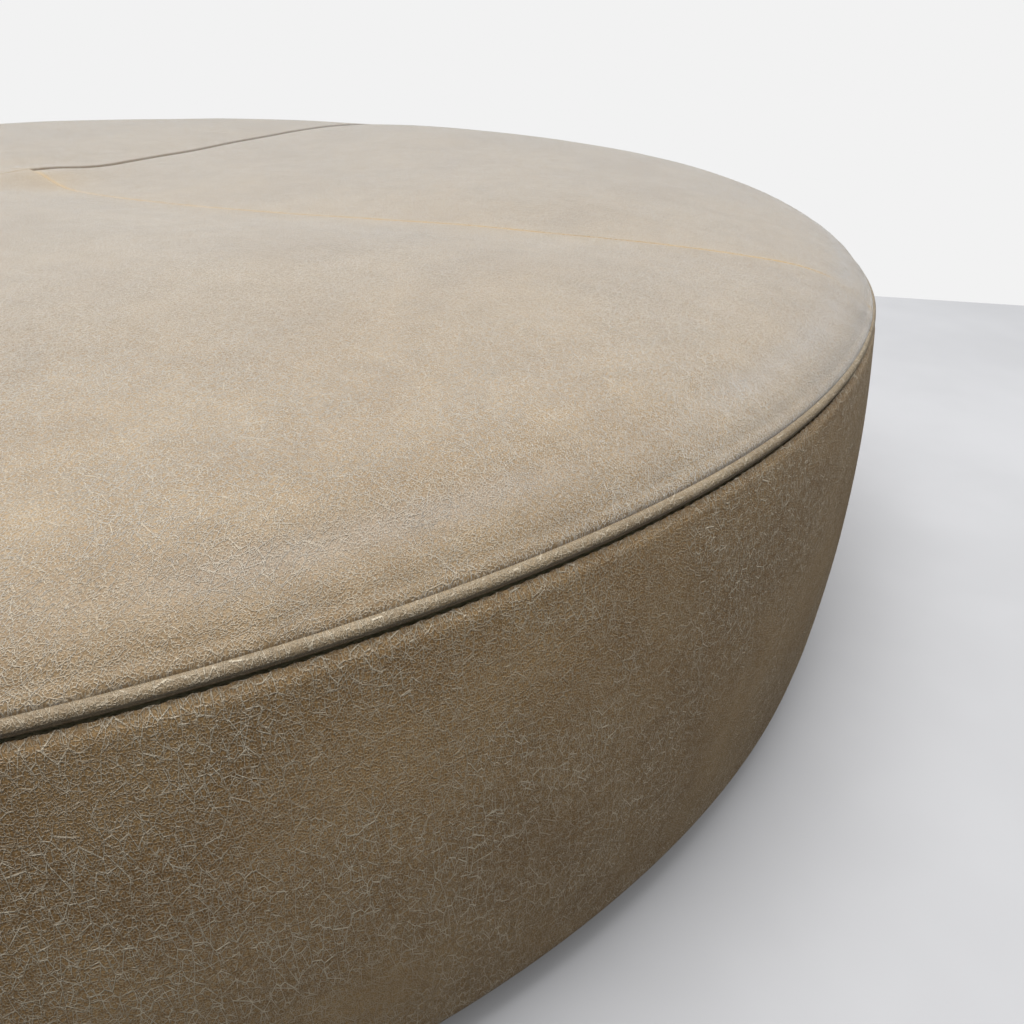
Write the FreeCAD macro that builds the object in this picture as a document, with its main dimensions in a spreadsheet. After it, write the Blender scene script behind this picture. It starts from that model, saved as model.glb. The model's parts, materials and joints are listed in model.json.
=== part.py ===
"""A low round leather pouf: a framed drum with a four-panel top, a piped edge and a plain side band.

Millimetres. +Z is up, and the origin is on the floor under the middle of the pouf. The top's two
cross seams lie over the X and Y axes. The frame, the side band and the feet are built from their
own zero direction and turned by frame_turn about Z, so that no post or band joint is under a seam.
"""
import FreeCAD
import Part
import math
import os
import re
import Sketcher

SIZES = [
    ("overall_height", 300, "floor to the crown of the top"),
    ("seam_radius", 605, "axis to the seam under the welt"),
    ("seam_level", 237, "floor to the seam under the welt"),
    ("bulge", 7, "how far the side swells out past the seam"),
    ("leather", 1.3, "leather thickness"),
    ("allowance", 10, "width of a seam allowance"),
    ("play", 0.3, "room between curved layers"),
    ("staple_gap", 0.2, "room over the hem staples and under the hem"),
    ("tail_room", 0.15, "room beside the welt's tail"),
    ("thread_room", 0.1, "room beside the sewing thread"),
    ("crown_reach", 360, "radius where the flat crown ends"),
    ("crown_drop", 3, "fall of the crown up to there"),
    ("haunch_reach", 540, "radius where the shoulder starts"),
    ("haunch_level", 278, "height there"),
    ("haunch_arc", 944, "radius of the slope outside the crown"),
    ("shoulder_reach", 585, "radius where the rim starts"),
    ("shoulder_level", 262, "height there"),
    ("shoulder_arc", 161, "radius of the shoulder"),
    ("rim_arc", 34.4, "radius of the rim down to the welt"),
    ("welt_radius", 3, "radius of the covered cord"),
    ("welt_skin", 1, "leather of the welt, per ply"),
    ("welt_stand", 2.95, "how far the cord's middle stands out of the groove"),
    ("cord_radius", 1.75, "radius of the bare cord"),
    ("groove_gap", 4.6, "distance between the grooves above and below the welt"),
    ("seam_bend", 3.5, "depth at which the allowances lie flat together"),
    ("thread", 0.8, "sewing thread"),
    ("stitch_depth", 5, "depth of the stitch line below a seam"),
    ("batting", 12, "polyester wadding over the top foam"),
    ("side_foam_depth", 12, "foam wrapped round the frame"),
    ("tuck_arc", 14, "radius of the band's lower edge"),
    ("hem_radius", 548, "inner edge of the leather turned under"),
    ("foot_height", 15, "floor to the dust cover"),
    ("foot_radius", 30, "foot at the floor"),
    ("foot_top_radius", 26, "foot at the dust cover"),
    ("foot_reach", 505, "axis to a foot"),
    ("dust_thickness", 0.6, "dust cover cloth"),
    ("dust_radius", 574, "dust cover"),
    ("deck_radius", 580, "plywood discs"),
    ("deck_top", 236, "floor to the top of the deck board"),
    ("board", 15, "plywood thickness"),
    ("base_bore", 430, "opening in the base ring"),
    ("skin_thickness", 4.7, "bent board round the frame"),
    ("post_side", 45, "square post"),
    ("post_reach", 579, "axis to a post's outer face"),
    ("rail_thickness", 18, "cross rail"),
    ("rail_reach", 575, "axis to a rail's end"),
    ("vent_radius", 22, "air hole in the deck board"),
    ("vent_reach", 300, "axis to an air hole"),
    ("post_count", 8, "posts, feet and vents round the frame"),
    ("band_count", 3, "lengths of leather in the side band"),
    ("frame_turn", 22.5, "angle from the X axis to the first post and band joint"),
    ("screw_shank", 4.2, "frame screw"),
    ("screw_head", 8.4, "frame screw head"),
    ("screw_length", 45, "frame screw"),
    ("screw_room", 0.2, "hole diameter over screw diameter"),
    ("screw_pitch", 22, "distance between the two screws at a post"),
    ("rail_screw_near", 200, "axis to a rail's inner screws"),
    ("rail_screw_far", 450, "axis to a rail's outer screws"),
    ("skin_screw_low", 80, "floor to the lower row of skin screws"),
    ("skin_screw_high", 180, "floor to the upper row"),
    ("skin_screw_length", 22, "skin screw"),
    ("skin_screw_side", 14, "skin screw to the post's middle"),
    ("foot_screw_length", 28, "foot screw"),
    ("staple_wire", 0.6, "staple wire, thin way"),
    ("staple_width", 1.2, "staple wire, wide way"),
    ("staple_crown", 10, "staple, outside its legs"),
    ("staple_leg", 8, "staple, height"),
    ("staple_room", 0.1, "room round a staple's leg"),
    ("hem_staple_reach", 562, "axis to the staples in the leather hem"),
    ("hem_staples_per_band", 24, "staples in the hem of one band length"),
    ("dust_staple_reach", 570, "axis to the staples in the dust cover"),
    ("dust_staples_per_band", 16, "dust cover staples under one band length"),
]
ALIASES = {alias for alias, value, note in SIZES}

# Levels and radii that follow from the sizes.
HEM_LEVEL = "(foot_height + dust_thickness + staple_wire + staple_gap)"
BASE_LEVEL = f"({HEM_LEVEL} + leather + play)"
POST_FOOT = f"({BASE_LEVEL} + board)"
POST_HEAD = "(deck_top - board)"
SKIN_BORE = "(deck_radius + play)"
SKIN_RADIUS = f"({SKIN_BORE} + skin_thickness)"
SIDE_FOAM_RADIUS = f"({SKIN_RADIUS} + play + side_foam_depth)"
UPPER_GROOVE_RADIUS = "(seam_radius - groove_gap * sqrt(0.5))"
UPPER_GROOVE_LEVEL = "(seam_level + groove_gap * sqrt(0.5))"
PADDING_RIM = f"({UPPER_GROOVE_LEVEL} + 1.5)"
BATTING_DEPTH = "(leather + 2 * play)"
FOAM_DEPTH = f"({BATTING_DEPTH} + batting + play)"
BAND_ANGLE = "(360 / band_count)"
HEAD_DEPTH = "((screw_head - screw_shank) / 2)"
LEG_GAP = "(staple_crown / 2 - staple_wire)"
HEM_FIRST = f"({BAND_ANGLE} / hem_staples_per_band / 2)"
DUST_FIRST = f"({BAND_ANGLE} / dust_staples_per_band / 2)"
HEM_COUNT = "hem_staples_per_band * band_count"
DUST_COUNT = "dust_staples_per_band * band_count"
SCREW_HOLE = "((screw_shank + screw_room) / 2)"
ALLOWANCE_SIDE = "welt_skin + tail_room"

doc = FreeCAD.newDocument("pouf")
sheet = doc.addObject("Spreadsheet::Sheet", "Sizes")
pieces = []


def fill_sheet():
    """Put every driving size in its own named cell."""
    for row, (alias, value, note) in enumerate(SIZES, start=1):
        sheet.set(f"A{row}", alias)
        sheet.set(f"B{row}", str(value))
        sheet.set(f"C{row}", note)
        sheet.setAlias(f"B{row}", alias)
    doc.recompute()


def linked(formula):
    """Name the sheet in front of each size in a formula."""
    def with_sheet(word):
        return f"Sizes.{word[0]}" if word[0] in ALIASES else word[0]
    return re.sub(r"[a-z_]+", with_sheet, str(formula))


def number(formula):
    """Work a formula out now."""
    return float(sheet.evalExpression(linked(formula)))


def bind(item, path, formula):
    """Tie a property to the sheet."""
    item.setExpression(path, linked(formula))


# Sketches

def origin_part(body, role):
    """Find a body's own origin plane or axis."""
    return next(part for part in body.Origin.OriginFeatures if part.Role == role)


def new_sketch(body, name, plane, level="0", swing="0"):
    """Attach an empty sketch to an origin plane, raised by level and swung in it by an angle."""
    sketch = body.newObject("Sketcher::SketchObject", f"{body.Name}_{name}")
    sketch.AttachmentSupport = [(origin_part(body, plane), "")]
    sketch.MapMode = "FlatFace"
    up = FreeCAD.Vector(0, 0, 1)
    sketch.AttachmentOffset = FreeCAD.Placement(up * number(level), FreeCAD.Rotation(up, number(swing)))
    if level != "0":
        bind(sketch, ".AttachmentOffset.Base.z", level)
    if swing != "0":
        bind(sketch, ".AttachmentOffset.Rotation.Angle", swing)
    return sketch


def constrain(sketch, kind, *parts, size=None):
    """Add a constraint, tied to the sheet when it has a size."""
    if size is None:
        return sketch.addConstraint(Sketcher.Constraint(kind, *parts))
    index = sketch.addConstraint(Sketcher.Constraint(kind, *parts, number(size)))
    bind(sketch, f"Constraints[{index}]", size)
    return index


def place_point(sketch, edge, end, across, up):
    """Fix one sketch point by its two distances from the origin."""
    if number(across) == 0:
        constrain(sketch, "PointOnObject", edge, end, -2)
    else:
        constrain(sketch, "DistanceX", -1, 1, edge, end, size=across)
    if number(up) == 0:
        constrain(sketch, "PointOnObject", edge, end, -1)
    else:
        constrain(sketch, "DistanceY", -1, 1, edge, end, size=up)


def arc_between(start, end, radius, turn):
    """Give the short arc from start to end: turn is 1 anticlockwise and -1 clockwise."""
    chord = end - start
    height = math.sqrt(radius ** 2 - (chord.Length / 2) ** 2)
    left = FreeCAD.Vector(-chord.y, chord.x, 0).normalize()
    centre = start + chord / 2 + left * height * turn
    first, last = (start, end) if turn > 0 else (end, start)
    angles = [math.atan2(p.y - centre.y, p.x - centre.x) for p in (first, last)]
    if angles[1] < angles[0]:
        angles[1] += 2 * math.pi
    circle = Part.Circle(centre, FreeCAD.Vector(0, 0, 1), radius)
    return Part.ArcOfCircle(circle, angles[0], angles[1])


def closed_outline(sketch, corners):
    """Draw a closed outline. A corner is (across, up), with (radius, turn) added if an arc leaves it."""
    points = [FreeCAD.Vector(number(c[0]), number(c[1]), 0) for c in corners]
    ends = []
    for i, corner in enumerate(corners):
        start, end = points[i], points[(i + 1) % len(points)]
        if len(corner) == 2:
            edge = sketch.addGeometry(Part.LineSegment(start, end), False)
            ends.append((edge, 1, 2))
            continue
        radius, turn = corner[2:]
        edge = sketch.addGeometry(arc_between(start, end, number(radius), turn), False)
        ends.append((edge, 1, 2) if turn > 0 else (edge, 2, 1))
    for i, (edge, first, last) in enumerate(ends):
        after, after_first, _ = ends[(i + 1) % len(ends)]
        constrain(sketch, "Coincident", edge, last, after, after_first)
        place_point(sketch, edge, first, corners[i][0], corners[i][1])
        if len(corners[i]) > 2:
            constrain(sketch, "Radius", edge, size=corners[i][2])


def circles(sketch, rounds):
    """Draw full circles, each (across, up, radius)."""
    for across, up, radius in rounds:
        centre = FreeCAD.Vector(number(across), number(up), 0)
        circle = Part.Circle(centre, FreeCAD.Vector(0, 0, 1), number(radius))
        edge = sketch.addGeometry(circle, False)
        place_point(sketch, edge, 3, across, up)
        constrain(sketch, "Radius", edge, size=radius)


def rectangle(left, right, low, high):
    """Give the four corners of a rectangle."""
    return [(left, low), (right, low), (right, high), (left, high)]


# Features

def new_body(label, turn=None):
    """Start a sub-part, turned about Z when it belongs to the frame."""
    body = doc.addObject("PartDesign::Body", label)
    body.Label = label
    if turn is not None:
        body.Placement.Rotation = FreeCAD.Rotation(FreeCAD.Vector(0, 0, 1), number(turn))
        bind(body, ".Placement.Rotation.Angle", turn)
    pieces.append(body)
    return body


def turned(body, kind, sketch, angle="360", midplane=False):
    """Turn a sketch round its vertical axis: kind is Revolution or Groove."""
    feature = body.newObject(f"PartDesign::{kind}", f"{sketch.Name}_turned")
    feature.Profile = sketch
    feature.ReferenceAxis = (sketch, ["V_Axis"])
    feature.Midplane = midplane
    bind(feature, "Angle", angle)
    doc.recompute()
    return feature


def extruded(body, kind, sketch, length, reverse=False, midplane=False):
    """Extrude a sketch: kind is Pad or Pocket."""
    feature = body.newObject(f"PartDesign::{kind}", f"{sketch.Name}_deep")
    feature.Profile = sketch
    feature.Reversed = reverse
    feature.Midplane = midplane
    bind(feature, "Length", length)
    doc.recompute()
    return feature


def round_z(body, features, count, angle="360"):
    """Repeat features round the Z axis."""
    pattern = body.newObject("PartDesign::PolarPattern", f"{features[0].Name}_round")
    pattern.Originals = features
    pattern.Axis = (origin_part(body, "Z_Axis"), [""])
    bind(pattern, "Angle", angle)
    bind(pattern, "Occurrences", count)
    body.Tip = pattern
    doc.recompute()
    return pattern


def drilled(body, name, plane, rounds, level, depth, count=None, reverse=False):
    """Drill round holes from a level into the body, and repeat them round Z."""
    before = body.Shape.Volume
    sketch = new_sketch(body, name, plane, level)
    circles(sketch, rounds)
    pocket = extruded(body, "Pocket", sketch, depth, reverse)
    if count is not None:
        round_z(body, [pocket], count)
    if body.Shape.Volume >= before:
        raise ValueError(f"{body.Label}: {name} cuts nothing")


def sink_heads(body, name, spots, level, up, count):
    """Cut countersinks that a screw head fills flush; up is 1 where the head faces up."""
    before = body.Shape.Volume
    cuts = []
    for i, (across, along) in enumerate(spots):
        cone = body.newObject("PartDesign::SubtractiveCone", f"{body.Name}_{name}_{i}")
        cone.AttachmentSupport = [(origin_part(body, "XY_Plane"), "")]
        cone.MapMode = "FlatFace"
        wide, narrow = "screw_head / 2 + screw_room / 2", "screw_shank / 2 + screw_room / 2"
        bind(cone, "Radius1", narrow if up > 0 else wide)
        bind(cone, "Radius2", wide if up > 0 else narrow)
        bind(cone, "Height", HEAD_DEPTH)
        bind(cone, ".AttachmentOffset.Base.x", across)
        bind(cone, ".AttachmentOffset.Base.y", along)
        bind(cone, ".AttachmentOffset.Base.z", f"{level} - {HEAD_DEPTH}" if up > 0 else level)
        doc.recompute()
        cuts.append(cone)
    round_z(body, cuts, count)
    if body.Shape.Volume >= before:
        raise ValueError(f"{body.Label}: {name} sinks nothing")


# Outlines that several layers share

def seam_point(inward, over):
    """A point of the edge seam: inward along the 45-degree allowances, over from band to top side."""
    across = f"seam_radius - (({inward}) + ({over}) + groove_gap / 2) * sqrt(0.5)"
    up = f"seam_level - (({inward}) - ({over}) - groove_gap / 2) * sqrt(0.5)"
    return across, up


def crown_out(depth, rim):
    """The top's section from the axis out to the rim, at a depth below the leather's face."""
    crown_arc = "(crown_reach ^ 2 + crown_drop ^ 2) / (2 * crown_drop)"
    return [
        ("0", f"overall_height - {depth}", crown_arc, -1),
        ("crown_reach", f"overall_height - crown_drop - {depth}", f"haunch_arc - {depth}", -1),
        (f"haunch_reach - 0.2 * {depth}", f"haunch_level - 0.98 * {depth}", f"shoulder_arc - {depth}", -1),
        (f"shoulder_reach - 0.48 * {depth}", f"shoulder_level - 0.88 * {depth}", f"rim_arc - {depth}", -1),
        (f"{UPPER_GROOVE_RADIUS} - {depth}", rim),
    ]


def crown_in(depth, rim):
    """The same section run from the rim back in to the axis."""
    there = crown_out(depth, rim)
    back = []
    for i in range(len(there) - 1, 0, -1):
        radius = there[i - 1][2]
        back.append((there[i][0], there[i][1], radius, 1))
    return back + [there[0][:2]]


def crown_layer(upper, lower, rim, start="0"):
    """A closed section between two depths, from start out to the rim."""
    section = crown_out(upper, rim) + crown_in(lower, rim)
    section[0] = (start,) + section[0][1:]
    section[-1] = (start,) + section[-1][1:]
    return section


def wall_arc(low, high):
    """Radius of the side's swell between two levels."""
    return f"((({high}) - ({low})) ^ 2 / 4 + bulge ^ 2) / (2 * bulge)"


def half_wall_arc(widest, edge):
    """Radius of the side's swell from its widest level to its edge."""
    return f"((({edge}) - ({widest})) ^ 2 + bulge ^ 2) / (2 * bulge)"


def leg_outlines(reach, room):
    """The two legs of a staple that lies across a radius, in plan."""
    near = f"{reach} - staple_width / 2 - {room}"
    far = f"{reach} + staple_width / 2 + {room}"
    inner, outer = f"{LEG_GAP} - {room}", f"staple_crown / 2 + {room}"
    return [rectangle(near, far, inner, outer), rectangle(near, far, f"-({outer})", f"-({inner})")]


def staple_holes(body, name, reach, first, count, angle="360"):
    """Cut leg holes for a row of staples driven up into the body from below the dust cover."""
    before = body.Shape.Volume
    sketch = new_sketch(body, name, "XY_Plane", "foot_height - staple_wire", first)
    for leg in leg_outlines(reach, "staple_room"):
        closed_outline(sketch, leg)
    legs = extruded(body, "Pocket", sketch, "staple_leg + 2", reverse=True)
    round_z(body, [legs], count, angle)
    if body.Shape.Volume >= before:
        raise ValueError(f"{body.Label}: {name} cuts nothing")


def staples(label, reach, level, first, count):
    """A ring of staples, crowns down, legs up."""
    body = new_body(label, "frame_turn")
    plan = new_sketch(body, "legs", "XY_Plane", level, first)
    for leg in leg_outlines(reach, "0"):
        closed_outline(plan, leg)
    legs = extruded(body, "Pad", plan, "staple_leg")
    bar = new_sketch(body, "crown", "XY_Plane", level, first)
    near, far = f"{reach} - staple_width / 2", f"{reach} + staple_width / 2"
    closed_outline(bar, rectangle(near, far, "-staple_crown / 2", "staple_crown / 2"))
    crown = extruded(body, "Pad", bar, "staple_wire")
    round_z(body, [legs, crown], count)


# Leather

def top_panel(index):
    """A quarter of the top: two seam allowances turned down, and the rim turned into the edge seam."""
    body = new_body(f"top_panel_{index + 1}")
    body.Placement.Rotation = FreeCAD.Rotation(FreeCAD.Vector(0, 0, 1), 90 * index)
    skin = new_sketch(body, "skin", "XZ_Plane")
    side = ALLOWANCE_SIDE
    rim = [
        seam_point("seam_bend", side),
        seam_point("allowance", side),
        seam_point("allowance", f"{side} + leather"),
        seam_point("seam_bend", f"{side} + leather"),
    ]
    inner = crown_in("leather", f"{UPPER_GROOVE_LEVEL} + 0.3")
    closed_outline(skin, crown_out("0", UPPER_GROOVE_LEVEL) + rim + inner)
    turned(body, "Revolution", skin, "90")
    for plane, back in (("XZ_Plane", True), ("YZ_Plane", False)):
        fold = new_sketch(body, f"fold_{plane[:2].lower()}", plane)
        closed_outline(fold, crown_layer("leather / 2", "(leather + stitch_depth + 3)", UPPER_GROOVE_LEVEL))
        extruded(body, "Pad", fold, "leather", reverse=back)


def side_band(index):
    """One length of the side band, turned under the frame, with pressed-open allowances at its ends."""
    body = new_body(f"side_band_{index + 1}")
    angle = f"frame_turn + {index} * {BAND_ANGLE}"
    body.Placement.Rotation = FreeCAD.Rotation(FreeCAD.Vector(0, 0, 1), number(angle))
    bind(body, ".Placement.Rotation.Angle", angle)
    skin = new_sketch(body, "skin", "XZ_Plane")
    side = f"-({ALLOWANCE_SIDE})"
    low, high = f"{HEM_LEVEL} + tuck_arc", "seam_level - 1.6 * leather"
    widest = f"(seam_level + {low}) / 2"
    closed_outline(skin, [
        ("seam_radius - tuck_arc", HEM_LEVEL, "tuck_arc", 1),
        ("seam_radius", low, wall_arc(low, "seam_level"), 1),
        ("seam_radius + bulge", widest, wall_arc(low, "seam_level"), 1),
        ("seam_radius", "seam_level"),
        seam_point("seam_bend", side),
        seam_point("allowance", side),
        seam_point("allowance", f"{side} - leather"),
        seam_point("seam_bend", f"{side} - leather"),
        ("seam_radius - leather", high, half_wall_arc(widest, high), -1),
        ("seam_radius + bulge - leather", widest, wall_arc(low, "seam_level"), -1),
        ("seam_radius - leather", low, "tuck_arc - leather", -1),
        ("seam_radius - tuck_arc", f"{HEM_LEVEL} + leather"),
        ("hem_radius", f"{HEM_LEVEL} + leather"),
        ("hem_radius", HEM_LEVEL),
    ])
    turned(body, "Revolution", skin, BAND_ANGLE)
    lap = new_sketch(body, "lap", "XZ_Plane")
    near, far = "seam_radius - 2 * leather", "seam_radius - leather / 2"
    lap_high = "seam_level - allowance"
    closed_outline(lap, [
        (near, low), (far, low, wall_arc(low, lap_high), 1),
        (far, lap_high), (near, lap_high, wall_arc(low, lap_high), -1),
    ])
    width = "allowance / seam_radius * 180 / pi"
    first = turned(body, "Revolution", lap, width)
    round_z(body, [first], "2", f"{BAND_ANGLE} - {width}")
    last_hem = f"{BAND_ANGLE} * (1 - 1 / hem_staples_per_band)"
    staple_holes(body, "hem_row", "hem_staple_reach", HEM_FIRST, "hem_staples_per_band", last_hem)
    last_dust = f"{BAND_ANGLE} * (1 - 1 / dust_staples_per_band)"
    staple_holes(body, "dust_row", "dust_staple_reach", DUST_FIRST, "dust_staples_per_band", last_dust)


def welt_cover():
    """The strip of leather folded round the cord, with its tail in the edge seam."""
    body = new_body("welt_cover")
    section = new_sketch(body, "section", "XZ_Plane")
    throat = "-welt_stand + sqrt(welt_radius ^ 2 - welt_skin ^ 2)"
    closed_outline(section, [
        seam_point(throat, "-welt_skin"),
        seam_point("allowance", "-welt_skin"),
        seam_point("allowance", "welt_skin"),
        seam_point(throat, "welt_skin") + ("welt_radius", -1),
        seam_point("-welt_stand - welt_radius", "0") + ("welt_radius", -1),
    ])
    across, up = seam_point("-welt_stand", "0")
    circles(section, [(across, up, "welt_radius - welt_skin")])
    turned(body, "Revolution", section)


def ring(label, name, across, up, radius):
    """A closed ring of cord or thread; with a label it is a sub-part of its own."""
    torus = doc.addObject("Part::Torus", name)
    bind(torus, "Radius1", across)
    bind(torus, "Radius2", radius)
    torus.Placement.Base.z = number(up)
    bind(torus, ".Placement.Base.z", up)
    if label:
        torus.Label = label
        pieces.append(torus)
    return torus


def welt_cord():
    """The cord inside the welt."""
    across, up = seam_point("-welt_stand", "0")
    ring("welt_cord", "cord", across, up, "cord_radius")


def edge_thread():
    """The edge seam's thread: one run on the band's allowance and one on the top's."""
    past = f"{ALLOWANCE_SIDE} + leather + thread / 2 + thread_room"
    runs = []
    for name, over in (("lower_run", f"-({past})"), ("upper_run", past)):
        across, up = seam_point("stitch_depth + 1", over)
        runs.append(ring(None, name, across, up, "thread / 2"))
    pair = doc.addObject("Part::Compound", "edge_seam_thread")
    pair.Label = "edge_seam_thread"
    pair.Links = runs
    pieces.append(pair)


def top_thread():
    """The cross seams' thread: a run on each side of every seam, just under the stitch line."""
    body = new_body("top_seam_thread")
    floor, start = "(stitch_depth + thread)", "leather + thread + play"
    runs = []
    for name, level in (("near", "leather + thread_room"), ("far", "-(leather + thread + thread_room)")):
        section = new_sketch(body, name, "XZ_Plane", level)
        closed_outline(section, crown_layer("stitch_depth", floor, PADDING_RIM, start))
        runs.append(extruded(body, "Pad", section, "thread"))
    round_z(body, runs, "4")


# Padding

def top_batting():
    """Wadding over the top foam, slotted for the cross seams."""
    body = new_body("top_batting")
    section = new_sketch(body, "section", "XZ_Plane")
    closed_outline(section, crown_layer(BATTING_DEPTH, f"({BATTING_DEPTH} + batting)", PADDING_RIM))
    turned(body, "Revolution", section)
    slot = new_sketch(body, "slot", "XZ_Plane")
    slot_floor = f"({BATTING_DEPTH} + stitch_depth + 3.5)"
    closed_outline(slot, crown_layer(f"({BATTING_DEPTH} - 1)", slot_floor, f"{PADDING_RIM} - 2"))
    cut = extruded(body, "Pocket", slot, "2 * (leather + thread + play)", midplane=True)
    round_z(body, [cut], "4")


def top_foam():
    """The crowned foam disc on the deck board."""
    body = new_body("top_foam")
    section = new_sketch(body, "section", "XZ_Plane")
    seat = "deck_top + play"
    corner = (f"{UPPER_GROOVE_RADIUS} - {FOAM_DEPTH}", seat)
    closed_outline(section, crown_out(FOAM_DEPTH, PADDING_RIM) + [corner, ("0", seat)])
    turned(body, "Revolution", section)


def side_foam():
    """The foam strip round the frame."""
    body = new_body("side_foam", "frame_turn")
    section = new_sketch(body, "section", "XZ_Plane")
    low, high = f"{HEM_LEVEL} + tuck_arc / 3", "seam_level - allowance + 1.5"
    near = f"{SKIN_RADIUS} + play"
    closed_outline(section, rectangle(near, SIDE_FOAM_RADIUS, low, high))
    turned(body, "Revolution", section)


def side_batting():
    """The wadding that fills the side's swell, thinned behind the band's joints."""
    body = new_body("side_batting", "frame_turn")
    section = new_sketch(body, "section", "XZ_Plane")
    low, high = f"{HEM_LEVEL} + tuck_arc + 0.6", "seam_level - allowance + 1.5"
    near, far = f"{SIDE_FOAM_RADIUS} + play", "seam_radius - leather - play"
    closed_outline(section, [
        (near, low), (far, low, wall_arc(low, high), 1), (far, high), (near, high),
    ])
    turned(body, "Revolution", section)
    relief = new_sketch(body, "relief", "XZ_Plane")
    floor = "seam_radius - 2 * leather - 2 * play"
    outside = "seam_radius + bulge"
    closed_outline(relief, [
        (floor, f"{low} - 1"), (outside, f"{low} - 1"), (outside, f"{high} + 1"),
        (floor, f"{high} + 1", wall_arc(f"{low} - 1", f"{high} + 1"), -1),
    ])
    before = body.Shape.Volume
    cut = turned(body, "Groove", relief, "2 * (allowance + 1) / seam_radius * 180 / pi", midplane=True)
    round_z(body, [cut], "band_count")
    if body.Shape.Volume >= before:
        raise ValueError("side_batting: relief cuts nothing")


# Frame

def post_screw_spots():
    """The two screws over the post at the zero direction, in plan."""
    middle = "post_reach - post_side / 2"
    return [(middle, "screw_pitch / 2"), (middle, "-screw_pitch / 2")]


def rail_screw_spots(reaches):
    """Screws along the rail nearest the zero direction, in a frame turned by frame_turn."""
    return [(f"{reach} * cos(frame_turn)", f"-{reach} * sin(frame_turn)") for reach in reaches]


def deck_board():
    """The plywood disc under the top foam."""
    body = new_body("deck_board", "frame_turn")
    plan = new_sketch(body, "plan", "XY_Plane", POST_HEAD)
    circles(plan, [("0", "0", "deck_radius")])
    extruded(body, "Pad", plan, "board")
    hole = SCREW_HOLE
    top, through = "deck_top + 1", "board + 2"
    over_posts = post_screw_spots()
    over_rails = rail_screw_spots(["rail_screw_near", "rail_screw_far"])
    drilled(body, "posts", "XY_Plane", [spot + (hole,) for spot in over_posts], top, through, "post_count")
    sink_heads(body, "post_heads", over_posts, "deck_top", 1, "post_count")
    drilled(body, "rails", "XY_Plane", [spot + (hole,) for spot in over_rails], top, through, "4")
    sink_heads(body, "rail_heads", over_rails, "deck_top", 1, "4")
    vents = [("vent_reach", "0", "vent_radius")]
    drilled(body, "vents", "XY_Plane", vents, top, through, "post_count")


def base_ring():
    """The plywood ring that carries the posts, the feet and the leather's hem."""
    body = new_body("base_ring", "frame_turn")
    plan = new_sketch(body, "plan", "XY_Plane", BASE_LEVEL)
    circles(plan, [("0", "0", "deck_radius"), ("0", "0", "base_bore")])
    extruded(body, "Pad", plan, "board")
    hole = SCREW_HOLE
    top, through = f"{POST_FOOT} + 1", "board + 2"
    under_posts = post_screw_spots()
    under_rails = rail_screw_spots(["foot_reach"])
    drilled(body, "posts", "XY_Plane", [spot + (hole,) for spot in under_posts], top, through, "post_count")
    sink_heads(body, "post_heads", under_posts, BASE_LEVEL, -1, "post_count")
    drilled(body, "rails", "XY_Plane", [spot + (hole,) for spot in under_rails], top, through, "4")
    sink_heads(body, "rail_heads", under_rails, BASE_LEVEL, -1, "4")
    drilled(body, "feet", "XY_Plane", [("foot_reach", "0", hole)], top, through, "post_count")
    staple_holes(body, "hem_row", "hem_staple_reach", HEM_FIRST, HEM_COUNT)
    staple_holes(body, "dust_row", "dust_staple_reach", DUST_FIRST, DUST_COUNT)


def post(index):
    """A square post between the base ring and the deck board."""
    body = new_body(f"post_{index + 1}")
    angle = f"frame_turn + {index} * 360 / post_count"
    body.Placement.Rotation = FreeCAD.Rotation(FreeCAD.Vector(0, 0, 1), number(angle))
    bind(body, ".Placement.Rotation.Angle", angle)
    plan = new_sketch(body, "plan", "XY_Plane", POST_FOOT)
    closed_outline(plan, rectangle("post_reach - post_side", "post_reach", "-post_side / 2", "post_side / 2"))
    extruded(body, "Pad", plan, f"{POST_HEAD} - {POST_FOOT}")
    hole = SCREW_HOLE
    spots = [spot + (hole,) for spot in post_screw_spots()]
    depth = "screw_length - board + 1"
    drilled(body, "upper", "XY_Plane", spots, POST_HEAD, depth)
    drilled(body, "lower", "XY_Plane", spots, POST_FOOT, depth, reverse=True)
    rows = [(side, level, hole) for level in ("skin_screw_low", "skin_screw_high")
            for side in ("skin_screw_side", "-skin_screw_side")]
    drilled(body, "outer", "YZ_Plane", rows, "post_reach + 1", "skin_screw_length - skin_thickness + 1")


def cross_rail(label, turn, notch_level):
    """A rail on edge across the frame, halved where it crosses the other one."""
    body = new_body(label)
    body.Placement.Rotation = FreeCAD.Rotation(FreeCAD.Vector(0, 0, 1), turn)
    plan = new_sketch(body, "plan", "XY_Plane", POST_FOOT)
    half = "rail_thickness / 2"
    closed_outline(plan, rectangle("-rail_reach", "rail_reach", f"-{half}", half))
    tall = f"({POST_HEAD} - {POST_FOOT})"
    extruded(body, "Pad", plan, tall)
    notch = new_sketch(body, "notch", "XY_Plane", notch_level)
    gap = "rail_thickness / 2 + play / 2"
    closed_outline(notch, rectangle(f"-({gap})", gap, "-rail_thickness", "rail_thickness"))
    before = body.Shape.Volume
    extruded(body, "Pocket", notch, f"{tall} / 2 + play / 2")
    if body.Shape.Volume >= before:
        raise ValueError(f"{label}: notch cuts nothing")
    hole = SCREW_HOLE
    depth = "screw_length - board + 1"
    above = [(reach, "0", hole) for reach in ("rail_screw_near", "rail_screw_far")]
    drilled(body, "upper", "XY_Plane", above, POST_HEAD, depth, "2")
    drilled(body, "lower", "XY_Plane", [("foot_reach", "0", hole)], POST_FOOT, depth, "2", reverse=True)


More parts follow.
